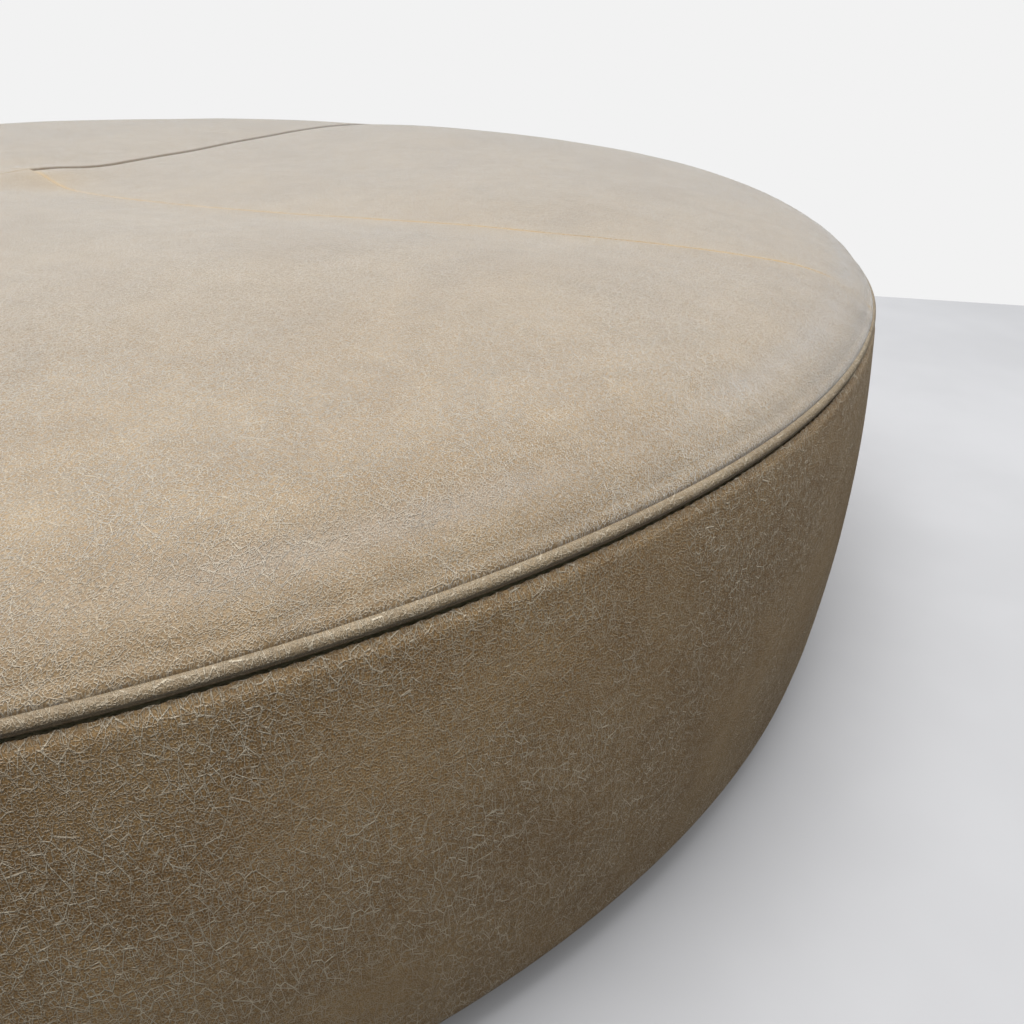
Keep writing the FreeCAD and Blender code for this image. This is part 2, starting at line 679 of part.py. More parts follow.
def side_skin(index):
    """Half of the bent board round the frame."""
    body = new_body(f"side_skin_{index + 1}")
    angle = f"frame_turn + 180 * {index}"
    body.Placement.Rotation = FreeCAD.Rotation(FreeCAD.Vector(0, 0, 1), number(angle))
    bind(body, ".Placement.Rotation.Angle", angle)
    section = new_sketch(body, "section", "XZ_Plane")
    closed_outline(section, rectangle(SKIN_BORE, SKIN_RADIUS, BASE_LEVEL, "deck_top"))
    turned(body, "Revolution", section, "180")
    hole = SCREW_HOLE
    rows = [("skin_screw_side", level, hole) for level in ("skin_screw_low", "skin_screw_high")]
    twins = [("-skin_screw_side", level, hole) for level in ("skin_screw_low", "skin_screw_high")]
    depth = "skin_thickness + 6"
    drilled(body, "ahead", "YZ_Plane", rows, f"{SKIN_RADIUS} + 1", depth, "post_count")
    drilled(body, "behind", "YZ_Plane", twins, f"{SKIN_RADIUS} + 1", depth, "post_count")


# Underside

def dust_cover():
    """The black cloth disc that closes the underside."""
    body = new_body("dust_cover", "frame_turn")
    plan = new_sketch(body, "plan", "XY_Plane", "foot_height")
    circles(plan, [("0", "0", "dust_radius")])
    extruded(body, "Pad", plan, "dust_thickness")
    hole = SCREW_HOLE
    drilled(body, "feet", "XY_Plane", [("foot_reach", "0", hole)], "foot_height + 2", "4", "post_count")
    staple_holes(body, "row", "dust_staple_reach", DUST_FIRST, DUST_COUNT)


def foot(index):
    """A low tapered foot with a sunk screw hole."""
    body = new_body(f"foot_{index + 1}")
    angle = number(f"frame_turn + {index} * 360 / post_count")
    out = FreeCAD.Rotation(FreeCAD.Vector(0, 0, 1), angle)
    body.Placement = FreeCAD.Placement(out.multVec(FreeCAD.Vector(number("foot_reach"), 0, 0)), out)
    section = new_sketch(body, "section", "XZ_Plane")
    bore, well = SCREW_HOLE, "screw_head / 2 + 1"
    edge = "1.5"
    closed_outline(section, [
        (well, "0"),
        (f"foot_radius - {edge}", "0", edge, 1),
        ("foot_radius", edge),
        ("foot_top_radius", "foot_height"),
        (bore, "foot_height"),
        (bore, "foot_height / 2"),
        (well, "foot_height / 2"),
    ])
    turned(body, "Revolution", section)


# Screws

def screws(label, spots, face, length, up, count):
    """A group of countersunk screws; up is 1 where the heads face up."""
    body = new_body(label, "frame_turn")
    features = []
    for i, (across, along) in enumerate(spots):
        features += screw_solid(body, i, across, along, face, length, up)
    round_z(body, features, count)


def screw_solid(body, name, across, along, face, length, up):
    """One screw as a cone head on a straight shank."""
    parts = []
    wide, narrow = "screw_head / 2", "screw_shank / 2"
    tip = f"{face} - ({length})" if up > 0 else f"{face} + {HEAD_DEPTH} / 2"
    shapes = [
        ("Cone", {"Radius1": narrow if up > 0 else wide, "Radius2": wide if up > 0 else narrow,
                  "Height": HEAD_DEPTH}, f"{face} - {HEAD_DEPTH}" if up > 0 else face),
        ("Cylinder", {"Radius": narrow, "Height": f"{length} - {HEAD_DEPTH} / 2"}, tip),
    ]
    for kind, sizes, level in shapes:
        solid = body.newObject(f"PartDesign::Additive{kind}", f"{body.Name}_{kind}_{name}")
        solid.AttachmentSupport = [(origin_part(body, "XY_Plane"), "")]
        solid.MapMode = "FlatFace"
        for path, formula in sizes.items():
            bind(solid, path, formula)
        bind(solid, ".AttachmentOffset.Base.x", across)
        bind(solid, ".AttachmentOffset.Base.y", along)
        bind(solid, ".AttachmentOffset.Base.z", level)
        doc.recompute()
        parts.append(solid)
    return parts


def skin_screws():
    """Screws from outside through the bent board into the posts."""
    body = new_body("skin_screws", "frame_turn")
    section_rows = [(side, level, "screw_shank / 2") for level in ("skin_screw_low", "skin_screw_high")
                    for side in ("skin_screw_side", "-skin_screw_side")]
    shanks = new_sketch(body, "shanks", "YZ_Plane", f"{SKIN_RADIUS} - skin_screw_length")
    circles(shanks, section_rows)
    pad = extruded(body, "Pad", shanks, "skin_screw_length")
    round_z(body, [pad], "post_count")


def check(item):
    """Stop if an object or its shape is not sound."""
    if any(word in item.State for word in ("Invalid", "Error")):
        raise ValueError(f"{item.Label} failed: {item.State}")


def main():
    fill_sheet()
    for index in range(4):
        top_panel(index)
    for index in range(int(number("band_count"))):
        side_band(index)
    welt_cover()
    welt_cord()
    edge_thread()
    top_thread()
    top_batting()
    top_foam()
    side_foam()
    side_batting()
    deck_board()
    base_ring()
    for index in range(int(number("post_count"))):
        post(index)
    cross_rail("rail_x", 0, POST_HEAD)
    cross_rail("rail_y", 90, f"({POST_HEAD} + {POST_FOOT}) / 2 + play / 2")
    for index in range(2):
        side_skin(index)
    dust_cover()
    for index in range(int(number("post_count"))):
        foot(index)
    rails_above = rail_screw_spots(["rail_screw_near", "rail_screw_far"])
    rails_below = rail_screw_spots(["foot_reach"])
    screws("deck_post_screws", post_screw_spots(), "deck_top", "screw_length", 1, "post_count")
    screws("deck_rail_screws", rails_above, "deck_top", "screw_length", 1, "4")
    screws("base_post_screws", post_screw_spots(), BASE_LEVEL, "screw_length", -1, "post_count")
    screws("base_rail_screws", rails_below, BASE_LEVEL, "screw_length", -1, "4")
    screws("foot_screws", [("foot_reach", "0")], "foot_height / 2 - 3", "foot_screw_length", -1, "post_count")
    skin_screws()
    staples("hem_staples", "hem_staple_reach", f"{HEM_LEVEL} - staple_wire", HEM_FIRST, HEM_COUNT)
    staples("dust_staples", "dust_staple_reach", "foot_height - staple_wire", DUST_FIRST, DUST_COUNT)

    doc.recompute()
    for item in doc.Objects:
        check(item)
    os.makedirs("parts", exist_ok=True)
    for piece in pieces:
        shape = piece.Shape
        if shape.isNull() or not shape.isValid():
            raise ValueError(f"{piece.Label} has no sound shape")
        print(piece.Label, len(shape.Solids), "solids", round(shape.Volume / 1000, 2), "cm3")
    for piece in pieces:
        piece.Shape.exportStep(f"parts/{piece.Label}.step")


main()
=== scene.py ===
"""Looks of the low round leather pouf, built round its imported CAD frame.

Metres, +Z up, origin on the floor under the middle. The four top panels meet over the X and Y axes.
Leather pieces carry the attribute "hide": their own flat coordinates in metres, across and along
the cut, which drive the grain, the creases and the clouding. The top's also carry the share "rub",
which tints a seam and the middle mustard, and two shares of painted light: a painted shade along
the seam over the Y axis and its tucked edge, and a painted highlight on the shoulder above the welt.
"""

import json
import math

import bmesh
import bpy
import numpy as np
from mathutils import Matrix, Vector

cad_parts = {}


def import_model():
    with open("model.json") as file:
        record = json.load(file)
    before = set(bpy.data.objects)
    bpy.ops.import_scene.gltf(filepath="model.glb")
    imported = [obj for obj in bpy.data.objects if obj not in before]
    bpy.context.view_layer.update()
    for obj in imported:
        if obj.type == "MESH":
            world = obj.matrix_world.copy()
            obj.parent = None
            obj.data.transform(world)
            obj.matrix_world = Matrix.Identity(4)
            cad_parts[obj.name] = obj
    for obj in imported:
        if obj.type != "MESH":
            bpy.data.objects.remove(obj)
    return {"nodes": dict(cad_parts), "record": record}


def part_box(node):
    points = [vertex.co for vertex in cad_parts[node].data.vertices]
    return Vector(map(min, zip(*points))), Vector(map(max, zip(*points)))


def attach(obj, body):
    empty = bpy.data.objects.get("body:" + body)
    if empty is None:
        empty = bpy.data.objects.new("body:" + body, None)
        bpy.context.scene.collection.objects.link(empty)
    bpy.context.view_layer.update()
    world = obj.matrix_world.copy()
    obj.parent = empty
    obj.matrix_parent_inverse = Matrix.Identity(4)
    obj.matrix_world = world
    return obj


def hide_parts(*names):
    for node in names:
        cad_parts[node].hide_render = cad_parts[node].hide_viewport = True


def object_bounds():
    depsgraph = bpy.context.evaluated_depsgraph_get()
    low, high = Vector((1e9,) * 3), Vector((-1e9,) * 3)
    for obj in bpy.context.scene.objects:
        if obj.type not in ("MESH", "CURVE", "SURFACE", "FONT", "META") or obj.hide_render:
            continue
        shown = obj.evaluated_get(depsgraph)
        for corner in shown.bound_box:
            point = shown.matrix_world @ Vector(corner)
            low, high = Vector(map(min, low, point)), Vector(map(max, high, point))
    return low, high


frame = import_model()
cad_low, cad_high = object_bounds()

MM = 0.001

# Driving sizes, read from the frame where it holds them.
CORD_RADIUS = 1.75 * MM
WELT_RADIUS = 3 * MM
WELT_SKIN = 1 * MM
THREAD_RADIUS = 0.4 * MM
WELT_STAND = 2.95 * MM
GROOVE_GAP = 4.6 * MM
SLANT = math.sqrt(0.5)
WELT_LEVEL = sum(corner.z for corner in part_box("welt_cord")) / 2
WELT_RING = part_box("welt_cord")[1].x - CORD_RADIUS
SEAM_LEVEL = WELT_LEVEL - (WELT_STAND + GROOVE_GAP / 2) * SLANT
SEAM_RADIUS = WELT_RING - (WELT_STAND - GROOVE_GAP / 2) * SLANT
CROWN_LEVEL = cad_high.z
SWELL = cad_high.x - SEAM_RADIUS
LEATHER = 1.3 * MM
SEAM_GAP = 0.2 * MM
HEM_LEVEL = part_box("side_band_1")[0].z
HEM_RADIUS = 548 * MM
TUCK_ARC = 14 * MM
BAND_START = math.radians(22.5)
BAND_COUNT = 3
STITCH_PITCH = 5.6 * MM
STITCH_LENGTH = 0.8 * STITCH_PITCH
STITCH_INSET = 10 * MM
STITCH_DROP = 3.2 * MM
SHOWN_SINK = 0.2 * MM
HIDDEN_SINK = 2.2 * MM

# The worn welt sits deeper between the leathers than the CAD cord.
WELT_SINK = 3.2 * MM
WELT_AT = WELT_RING - WELT_SINK

# The top's section: (radius, level, radius of the arc that follows).
CROWN_SECTION = [
    (0, CROWN_LEVEL - 1 * MM, 21.6),
    (360 * MM, CROWN_LEVEL - 4.5 * MM, 944 * MM),
    (540 * MM, CROWN_LEVEL - 25 * MM, 161 * MM),
    (585 * MM, CROWN_LEVEL - 40 * MM, 28 * MM),
    (598 * MM, WELT_LEVEL + 7 * MM, 8 * MM),
    (WELT_AT - 1.1 * MM, WELT_LEVEL + 2.9 * MM),
]

# Soft relief of the top, which the taut CAD solid leaves out.
DISH_DEPTH = 8 * MM
DISH_REACH = 430 * MM
VALLEY_DEPTH = (5.0 * MM, 2.5 * MM, 4.0 * MM, 3.0 * MM)
VALLEY_WIDTH = 60 * MM
VALLEY_ENDS = (400 * MM, 570 * MM)
NUB_HEIGHT = 3 * MM
NUB_WIDTH = 35 * MM
CROSSING = (-30 * MM, -20 * MM)
SEAM_BOWS = ((53 * MM, 525 * MM), (8 * MM, 250 * MM), (-14 * MM, 500 * MM), (16 * MM, 450 * MM))
PANEL_CURL = 1.6 * MM
SEAM_STEP = 1.6 * MM
STEP_WIDTH = 14 * MM
SEAM_TUCKS = (1.2 * MM, 2.6 * MM)
RIM_TUCKS = ((1.0 * MM, 0.4 * MM), (2.2 * MM, 1.8 * MM), (3.2 * MM, 4.5 * MM))

# Relief of the shoulder above the welt, its painted sheen highlight and the painted shade of a seam.
HOLLOW_DEPTH = 1.8 * MM
HOLLOW_RISE = 20 * MM
HOLLOW_WIDTH = 12 * MM
WRINKLE_SKEW = 0.6
SHEEN_RISE = 25 * MM
SHEEN_WIDTH = 7 * MM
SEAM_SHADE_WIDTH = 1.3 * MM

# Soft relief of the side band.
BAND_CURL = 2.2 * MM
BAND_PUFF = 1.0 * MM
BAND_DRAW = 0.4 * MM
SCALLOP = 1.0 * MM
FINE_BAND = 9 * MM
FINE_CELLS = 1152
COARSE_CELLS = FINE_CELLS // 2
WANDER_FADE = 50 * MM

# The edge is drawn in where a cross seam ends.
PINCH = 1.0 * MM
PINCH_SWING = 0.15


# Shapes

def arc_points(start, end, radius, turn, steps=24):
    """Points of the short arc from start to end; turn is 1 anticlockwise and -1 clockwise."""
    start, end = np.array(start[:2]), np.array(end[:2])
    chord = end - start
    length = np.hypot(*chord)
    left = np.array([-chord[1], chord[0]]) / length
    centre = start + chord / 2 + left * turn * math.sqrt(radius ** 2 - length ** 2 / 4)
    first = math.atan2(*(start - centre)[::-1])
    sweep = 2 * math.asin(length / 2 / radius) * turn
    angles = first + sweep * np.linspace(0, 1, steps + 1)
    return centre + radius * np.stack([np.cos(angles), np.sin(angles)], axis=1)


def arc_chain(corners, turn):
    """One line through corners, (across, up, radius of the next arc)."""
    parts = [arc_points(a, b, a[2], turn)[:-1] for a, b in zip(corners, corners[1:])]
    return np.vstack(parts + [np.array([corners[-1][:2]])])


class Line:
    """A section line that gives points and outward normals at distances along it."""

    def __init__(self, points):
        self.points = np.array(points, float)
        gaps = np.hypot(*np.diff(self.points, axis=0).T)
        self.at = np.concatenate([[0], np.cumsum(gaps)])
        self.length = self.at[-1]

    def point(self, distance):
        across = np.interp(distance, self.at, self.points[:, 0])
        up = np.interp(distance, self.at, self.points[:, 1])
        return across, up

    def normal(self, distance):
        step = 0.4 * MM
        near = self.point(np.clip(np.asarray(distance) - step, 0, self.length))
        far = self.point(np.clip(np.asarray(distance) + step, 0, self.length))
        across, up = far[0] - near[0], far[1] - near[1]
        size = np.hypot(across, up)
        return -up / size, across / size


def spaced(total, first, growth, widest):
    """Distances from 0 to total whose steps grow from first to widest."""
    steps = [first]
    while sum(steps) < total:
        steps.append(min(steps[-1] * growth, widest))
    return np.concatenate([[0], np.cumsum(steps)]) * total / sum(steps)


def smooth(x, low, high):
    """0 below low, 1 above high and an even S between."""
    t = np.clip((x - low) / (high - low), 0, 1)
    return t * t * (3 - 2 * t)


def value_noise(across, along, seed):
    """Even noise from -1 to 1 on a lattice of whole numbers, repeating every 64 cells."""
    table = np.random.default_rng(seed).uniform(-1, 1, (64, 64))
    i, j = np.floor(across).astype(int), np.floor(along).astype(int)
    s, t = across - i, along - j
    s, t = s * s * (3 - 2 * s), t * t * (3 - 2 * t)
    left, right = i % 64, (i + 1) % 64
    low, high = j % 64, (j + 1) % 64
    bottom = table[left, low] * (1 - s) + table[right, low] * s
    top = table[left, high] * (1 - s) + table[right, high] * s
    return bottom * (1 - t) + top * t


def bell(distance, width):
    """1 at no distance, falling away evenly over a width."""
    return np.exp(-(distance / width) ** 2)


def build_mesh(name, points, faces, hide=None):
    """A smooth-shaded mesh object with its flat coordinates."""
    mesh = bpy.data.meshes.new(name)
    mesh.from_pydata(points.tolist(), [], faces)
    mesh.polygons.foreach_set("use_smooth", [True] * len(mesh.polygons))
    if hide is not None:
        layer = mesh.attributes.new("hide", "FLOAT_VECTOR", "POINT")
        layer.data.foreach_set("vector", hide.astype(np.float32).ravel())
    mesh.update()
    piece = bpy.data.objects.new(name, mesh)
    bpy.context.scene.collection.objects.link(piece)
    return piece


def grid_faces(index, closed=False):
    """Quads between the neighbours of a table of point numbers."""
    if closed:
        index = np.concatenate([index, index[:, :1]], axis=1)
    a, b = index[:-1, :-1].ravel(), index[:-1, 1:].ravel()
    c, d = index[1:, 1:].ravel(), index[1:, :-1].ravel()
    return np.stack([a, b, c, d], axis=1).tolist()


def thicken(piece, thickness):
    """Give a sheet its thickness on the inner side."""
    shell = piece.modifiers.new("thickness", "SOLIDIFY")
    shell.thickness = thickness
    shell.offset = -1


def rim_wave(angle):
    """Small wander of the edge seam, (outward, up), from handwork."""
    out = 0.35 * np.sin(5 * angle + 1.1) + 0.25 * np.sin(13 * angle + 0.4)
    up = 0.5 * np.sin(4 * angle + 2.0) + 0.25 * np.sin(11 * angle)
    return out * MM, up * MM


def seam_pinch(angle):
    """How far the edge is drawn in where the four bulky cross seams end."""
    off = np.abs((angle + math.pi / 4) % (math.pi / 2) - math.pi / 4)
    return -PINCH * bell(off, PINCH_SWING)


def edge_wave(angle):
    """Wander of the welt and the band's upper edge, (outward, up)."""
    out, up = rim_wave(angle)
    return out + seam_pinch(angle), up


# The top

crown = Line(arc_chain(CROWN_SECTION, -1))


def seam_drift(radius, angle):
    """How far the panels' seams stray sideways, along the circle, at a radius and angle."""
    drift = 0
    for k, (bow, reach) in enumerate(SEAM_BOWS):
        off = np.abs((angle - k * math.pi / 2 + math.pi) % (2 * math.pi) - math.pi)
        share = np.where(off < math.pi / 2, np.cos(off) ** 2, 0)
        t = radius / reach
        fade = 1 if k == 0 else 1 - (radius / SEAM_RADIUS) ** 2
        drift = drift + share * 4 * bow * t * (t - 1) * fade
    return drift


def top_relief(radius, angle, seam_near, seam_next, quarter):
    """Change of level of the top: the worn dish, the seam valleys and slow cushion waves."""
    dish = DISH_DEPTH * (np.cos(np.clip(radius / DISH_REACH, 0, 1) * math.pi) + 1) / 2
    first = VALLEY_DEPTH[quarter] * bell(seam_near, VALLEY_WIDTH)
    second = VALLEY_DEPTH[(quarter + 1) % 4] * bell(seam_next, VALLEY_WIDTH)
    valleys = (first + second) * (1 - smooth(radius, *VALLEY_ENDS)) * smooth(radius, 20 * MM, 80 * MM)
    nub = NUB_HEIGHT * bell(radius, NUB_WIDTH)
    x, y = radius * np.cos(angle), radius * np.sin(angle)
    slow = 0.7 * MM * value_noise(x / (130 * MM) + 7, y / (130 * MM) + 3, 21)
    quick = 0.35 * MM * value_noise(x / (55 * MM) + 9, y / (55 * MM) + 2, 22)
    return -dish - valleys + nub + slow + quick


def shoulder_relief(distance, arc_along):
    """Outward change of the shoulder above the welt: a soft hollow with uneven wrinkles."""
    up = crown.length - distance
    hollow = -HOLLOW_DEPTH * bell(up - HOLLOW_RISE, HOLLOW_WIDTH)
    hollow = hollow * (1 + 0.6 * value_noise(arc_along / (110 * MM), up / (200 * MM), 31))
    skew = arc_along + WRINKLE_SKEW * up
    long_wrinkle = 0.28 * MM * value_noise(skew / (11 * MM), up / (34 * MM), 32)
    short_wrinkle = 0.14 * MM * value_noise(skew / (6 * MM), up / (16 * MM), 33)
    fade = bell(up - 12 * MM, 26 * MM) * (1 - np.exp(-up / (2 * MM)))
    return hollow + (long_wrinkle + short_wrinkle) * fade


def panel_layout(finest, growth, widest, rim_step):
    """Ring distances and gaps from a seam, for the square grid of one quarter."""
    inner_reach = 560 * MM
    spacing = spaced(inner_reach * math.pi / 4, finest, growth, widest)
    rings = spacing * 4 / math.pi
    rim = spaced(crown.length - inner_reach, rim_step / 3, 1.2, rim_step)
    rings = np.concatenate([rings, (crown.length - rim)[::-1][1:]])
    extra = spacing[-1] + widest * np.arange(1, len(rim))
    return rings, np.concatenate([spacing, extra])


def top_place(distance, angle, near, after, quarter, depth=0.0, worn=True):
    """Places on the top at section distances and angles; near and after are the gaps to its seams."""
    radius, level = crown.point(distance)
    out_across, out_up = crown.normal(distance)
    wave_out, wave_up = rim_wave(angle)
    wander = np.exp(-(crown.length - distance) / (25 * MM))
    push = (shoulder_relief(distance, SEAM_RADIUS * angle) if worn else 0) - depth
    radius_now = radius + out_across * push + wander * wave_out
    level_now = level + out_up * push + wander * wave_up
    level_now = level_now + top_relief(radius, angle, near, after, quarter)
    swung = angle + seam_drift(radius, angle) / np.maximum(radius, 1 * MM)
    slide = (1 - (radius / SEAM_RADIUS) ** 2) ** 2
    x = radius_now * np.cos(swung) + slide * CROSSING[0]
    y = radius_now * np.sin(swung) + slide * CROSSING[1]
    return x, y, level_now


def quarter_grid(quarter, layout):
    """Section distance, angle and gaps to the two seams, on a quarter's square grid."""
    rings, spacing = layout
    n = len(rings)
    a, b = np.meshgrid(np.arange(n), np.arange(n), indexing="ij")
    ring, step = np.maximum(a, b), np.minimum(a, b)
    distance = rings[ring]
    radius = crown.point(distance)[0]
    along = spacing[step] * radius * math.pi / 4 / np.where(ring > 0, spacing[ring], 1)
    turn = along / np.where(radius > 0, radius, 1)
    angle = np.where(b <= a, turn, math.pi / 2 - turn)
    return distance, angle + quarter * math.pi / 2, radius * angle, radius * (math.pi / 2 - angle)


def curl_drop(gap, arc):
    """How far an edge curls in, round an arc, at a gap from its seam."""
    inside = np.clip(arc - gap, 0, arc)
    return arc - np.sqrt(arc ** 2 - inside ** 2)


def rub_tint(distance, near, after, quarter):
    """Share of the mustard tint: along the first seam, and round the crossing."""
    gap = {0: near, 3: after}.get(quarter, 1 + 0 * near)
    patchy = 0.75 + 0.35 * value_noise(distance / (30 * MM), gap / (20 * MM), 51)
    line = 0.8 * bell(gap, 2 * MM) * patchy
    halo = 0.16 * bell(gap, 18 * MM)
    middle = 0.22 * bell(distance, 70 * MM)
    return np.clip(line + halo + middle, 0, 1)


def rim_index(n):
    """Point numbers along the outer edge of a quarter's square grid."""
    return np.concatenate([np.arange(n) + (n - 1) * n, (np.arange(n - 1) * n + n - 1)[::-1]])


def tucked_panel(grid):
    """Points and faces of a quarter with its two seam edges and its rim turned under."""
    n = len(grid)
    face = grid.reshape(-1, 3)
    points, faces, count = [face], grid_faces(np.arange(n * n).reshape(n, n)), n * n
    for edge, turned in ((np.arange(n) * n, False), (np.arange(n), True)):
        last = edge
        for drop in SEAM_TUCKS:
            points.append(face[edge] - [0, 0, drop])
            new = np.arange(count, count + n)
            faces += grid_faces(np.stack([new, last] if turned else [last, new]))
            last, count = new, count + n
    last = rim = rim_index(n)
    spokes = face[rim] * [1, 1, 0]
    spokes = spokes / np.linalg.norm(spokes, axis=1, keepdims=True)
    for inward, down in RIM_TUCKS:
        points.append(face[rim] - spokes * inward - [0, 0, down])
        new = np.arange(count, count + len(rim))
        faces += grid_faces(np.stack([last, new]))
        last, count = new, count + len(rim)
    return np.vstack(points), faces


def mark(piece, label, shares):
    """Store a share for the first points of a piece and 0 for the rest."""
    values = np.zeros(len(piece.data.vertices), np.float32)
    values[:shares.size] = shares.ravel()
    layer = piece.data.attributes.new(label, "FLOAT", "POINT")
    layer.data.foreach_set("value", values)


def leather_panel(quarter):
    """One quarter of the leather top, curled down at its two seams and tucked under at the welt."""
    distance, angle, near, after = quarter_grid(quarter, panel_layout(0.35 * MM, 1.17, 3.4 * MM, 2 * MM))
    x, y, z = top_place(distance, angle, near, after, quarter)
    z = z - curl_drop(near, PANEL_CURL) - curl_drop(after, PANEL_CURL)
    if quarter == 0:
        z = z - SEAM_STEP * bell(after, STEP_WIDTH)
    middle = (quarter + 0.5) * math.pi / 2
    x = x + SEAM_GAP * math.cos(middle) / SLANT
    y = y + SEAM_GAP * math.sin(middle) / SLANT
    points, faces = tucked_panel(np.stack([x, y, z], axis=2))
    hide = points * [1, 1, 0]
    spoke = np.stack([np.cos(angle), np.sin(angle), 0 * angle], axis=2)
    beyond = (distance - crown.point(distance)[0])[..., None]
    hide[:distance.size] += (spoke * beyond).reshape(-1, 3)
    hide = hide + [quarter * 1.7, quarter * 0.9, 0]
    panel = build_mesh(f"top_leather_{quarter + 1}", points, faces, hide)
    mark(panel, "rub", rub_tint(distance, near, after, quarter))
    # Painted shade: a dark line on this quarter along the seam over the Y axis, and on that seam's tucked
    # edge.
    seam_shade_share = bell(near, SEAM_SHADE_WIDTH) if quarter == 1 else 0 * near
    tuck_shade = np.full(len(SEAM_TUCKS) * len(z), 1.0 if quarter == 1 else 0.0)
    mark(panel, "seam_shade", np.concatenate([seam_shade_share.ravel(), tuck_shade]))
    # Painted highlight: a cool sheen band on the shoulder above the welt.
    mark(panel, "painted_sheen", bell(crown.length - distance - SHEEN_RISE, SHEEN_WIDTH))
    thicken(panel, LEATHER)
    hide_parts(f"top_panel_{quarter + 1}")
    return panel


# The side band

WALL_FOOT = HEM_LEVEL + TUCK_ARC
WALL_ARC = ((SEAM_LEVEL - WALL_FOOT) ** 2 / 4 + SWELL ** 2) / (2 * SWELL)


def wall_line():
    """The band's section from the edge seam down, under the frame and in to the hem's edge."""
    wall = arc_points((SEAM_RADIUS, SEAM_LEVEL), (SEAM_RADIUS, WALL_FOOT), WALL_ARC, -1, 60)
    tuck_end = (SEAM_RADIUS - TUCK_ARC, HEM_LEVEL)
    tuck = arc_points((SEAM_RADIUS, WALL_FOOT), tuck_end, TUCK_ARC, -1)
    return Line(np.vstack([wall[:-1], tuck, [[HEM_RADIUS, HEM_LEVEL]]]))


def band_relief(along, down):
    """Outward change of the band: pulled in at the stitches, puckered below them, slow waves."""
    stitch = 0.5 + 0.5 * np.cos(2 * math.pi * along / STITCH_PITCH)
    seam = -BAND_DRAW * np.exp(-down / (1.6 * MM)) - SCALLOP * stitch * np.exp(-down / (2 * MM))
    puff = BAND_PUFF * smooth(down, 0, 5 * MM) * np.exp(-down / (45 * MM))
    pucker = 0.3 * MM * value_noise(along / (8.5 * MM), down / (50 * MM) + 3, 41)
    pucker = pucker * np.exp(-down / (13 * MM)) * (1 - np.exp(-down / (2 * MM)))
    slow = 0.8 * MM * value_noise(along / (170 * MM), down / (110 * MM), 42)
    slow = slow + 0.25 * MM * value_noise(along / (45 * MM), down / (60 * MM), 43)
    settle = smooth(down, 0, 30 * MM) * (1 - smooth(down, 185 * MM, 215 * MM))
    return seam + puff + pucker + slow * settle


def band_rows(wall):
    """Rows from the seam to the hem, (distance down, cells across), finer where the stitches pull."""
    upper = spaced(FINE_BAND, 0.5 * MM, 1.3, 1.5 * MM)
    lower = FINE_BAND + spaced(wall.length - FINE_BAND, 1.8 * MM, 1.2, 3.6 * MM)[1:]
    return [(down, FINE_CELLS) for down in upper] + [(down, COARSE_CELLS) for down in lower]


def band_row(wall, index, down, cells):
    """Points and flat coordinates of one row of a length of the band."""
    share = np.linspace(0, 1, cells + 1)
    sweep = 2 * math.pi / BAND_COUNT
    gap = SEAM_GAP / SEAM_RADIUS
    angle = BAND_START + index * sweep + gap + (sweep - 2 * gap) * share
    along = SEAM_RADIUS * angle
    radius, level = wall.point(down)
    out_across, out_up = wall.normal(down)
    end = np.minimum(share, 1 - share) * sweep * SEAM_RADIUS
    push = band_relief(along, down) - curl_drop(end, BAND_CURL)
    wander = math.exp(-down / WANDER_FADE)
    wave_out, wave_up = edge_wave(angle)
    r = radius + out_across * push + wander * wave_out
    z = level + out_up * push + wander * wave_up
    points = np.stack([r * np.cos(angle), r * np.sin(angle), z], axis=1)
    hide = np.stack([along + index, 0 * along - down, 0 * along], axis=1)
    return points, hide


def halving_faces(upper, lower):
    """Triangles from a row of points to a row with half as many cells."""
    left, middle, right = upper[:-1:2], upper[1::2], upper[2::2]
    low_left, low_right = lower[:-1], lower[1:]
    trios = ((left, middle, low_left), (middle, low_right, low_left), (middle, right, low_right))
    return [face for trio in trios for face in np.stack(trio, axis=1).tolist()]


def band_length(index, wall):
    """One length of the side band, tucked under and hemmed, with its ends turned in."""
    points, hides, faces = [], [], []
    count, last = 0, None
    for down, cells in band_rows(wall):
        row, hide = band_row(wall, index, down, cells)
        points.append(row)
        hides.append(hide)
        new = np.arange(count, count + len(row))
        if last is not None:
            same = len(last) == len(new)
            faces += grid_faces(np.stack([last, new])) if same else halving_faces(last, new)
        last, count = new, count + len(row)
    faces = [face[::-1] for face in faces]
    band = build_mesh(f"band_leather_{index + 1}", np.vstack(points), faces, np.vstack(hides))
    thicken(band, LEATHER)
    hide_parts(f"side_band_{index + 1}")
    return band


# The welt

def ring_tube(name, radius, cells, sides):
    """A tube that follows the edge seam round the pouf."""
    angle = np.arange(cells) / cells * 2 * math.pi
    side = np.arange(sides) / sides * 2 * math.pi
    turn, round_it = np.meshgrid(angle, side, indexing="xy")
    wave_out, wave_up = edge_wave(turn)
    r = WELT_AT + wave_out + radius * np.cos(round_it)
    z = WELT_LEVEL + wave_up + radius * np.sin(round_it)
    points = np.stack([r * np.cos(turn), r * np.sin(turn), z], axis=2).reshape(-1, 3)
    hide = np.stack([turn * WELT_AT, round_it * WELT_RADIUS, 0 * turn], axis=2).reshape(-1, 3)
    index = np.arange(cells * sides).reshape(sides, cells)
    faces = grid_faces(np.concatenate([index, index[:1]], axis=0), closed=True)
    return build_mesh(name, points, faces, hide)


def welt():
    """The covered cord in the edge seam, and the bare cord inside it."""
    cover = ring_tube("welt_piping", WELT_RADIUS, 2400, 18)
    thicken(cover, WELT_SKIN)
    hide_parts("welt_cover")
    core = ring_tube("welt_core", CORD_RADIUS, 720, 10)
    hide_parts("welt_cord")
    return cover, core


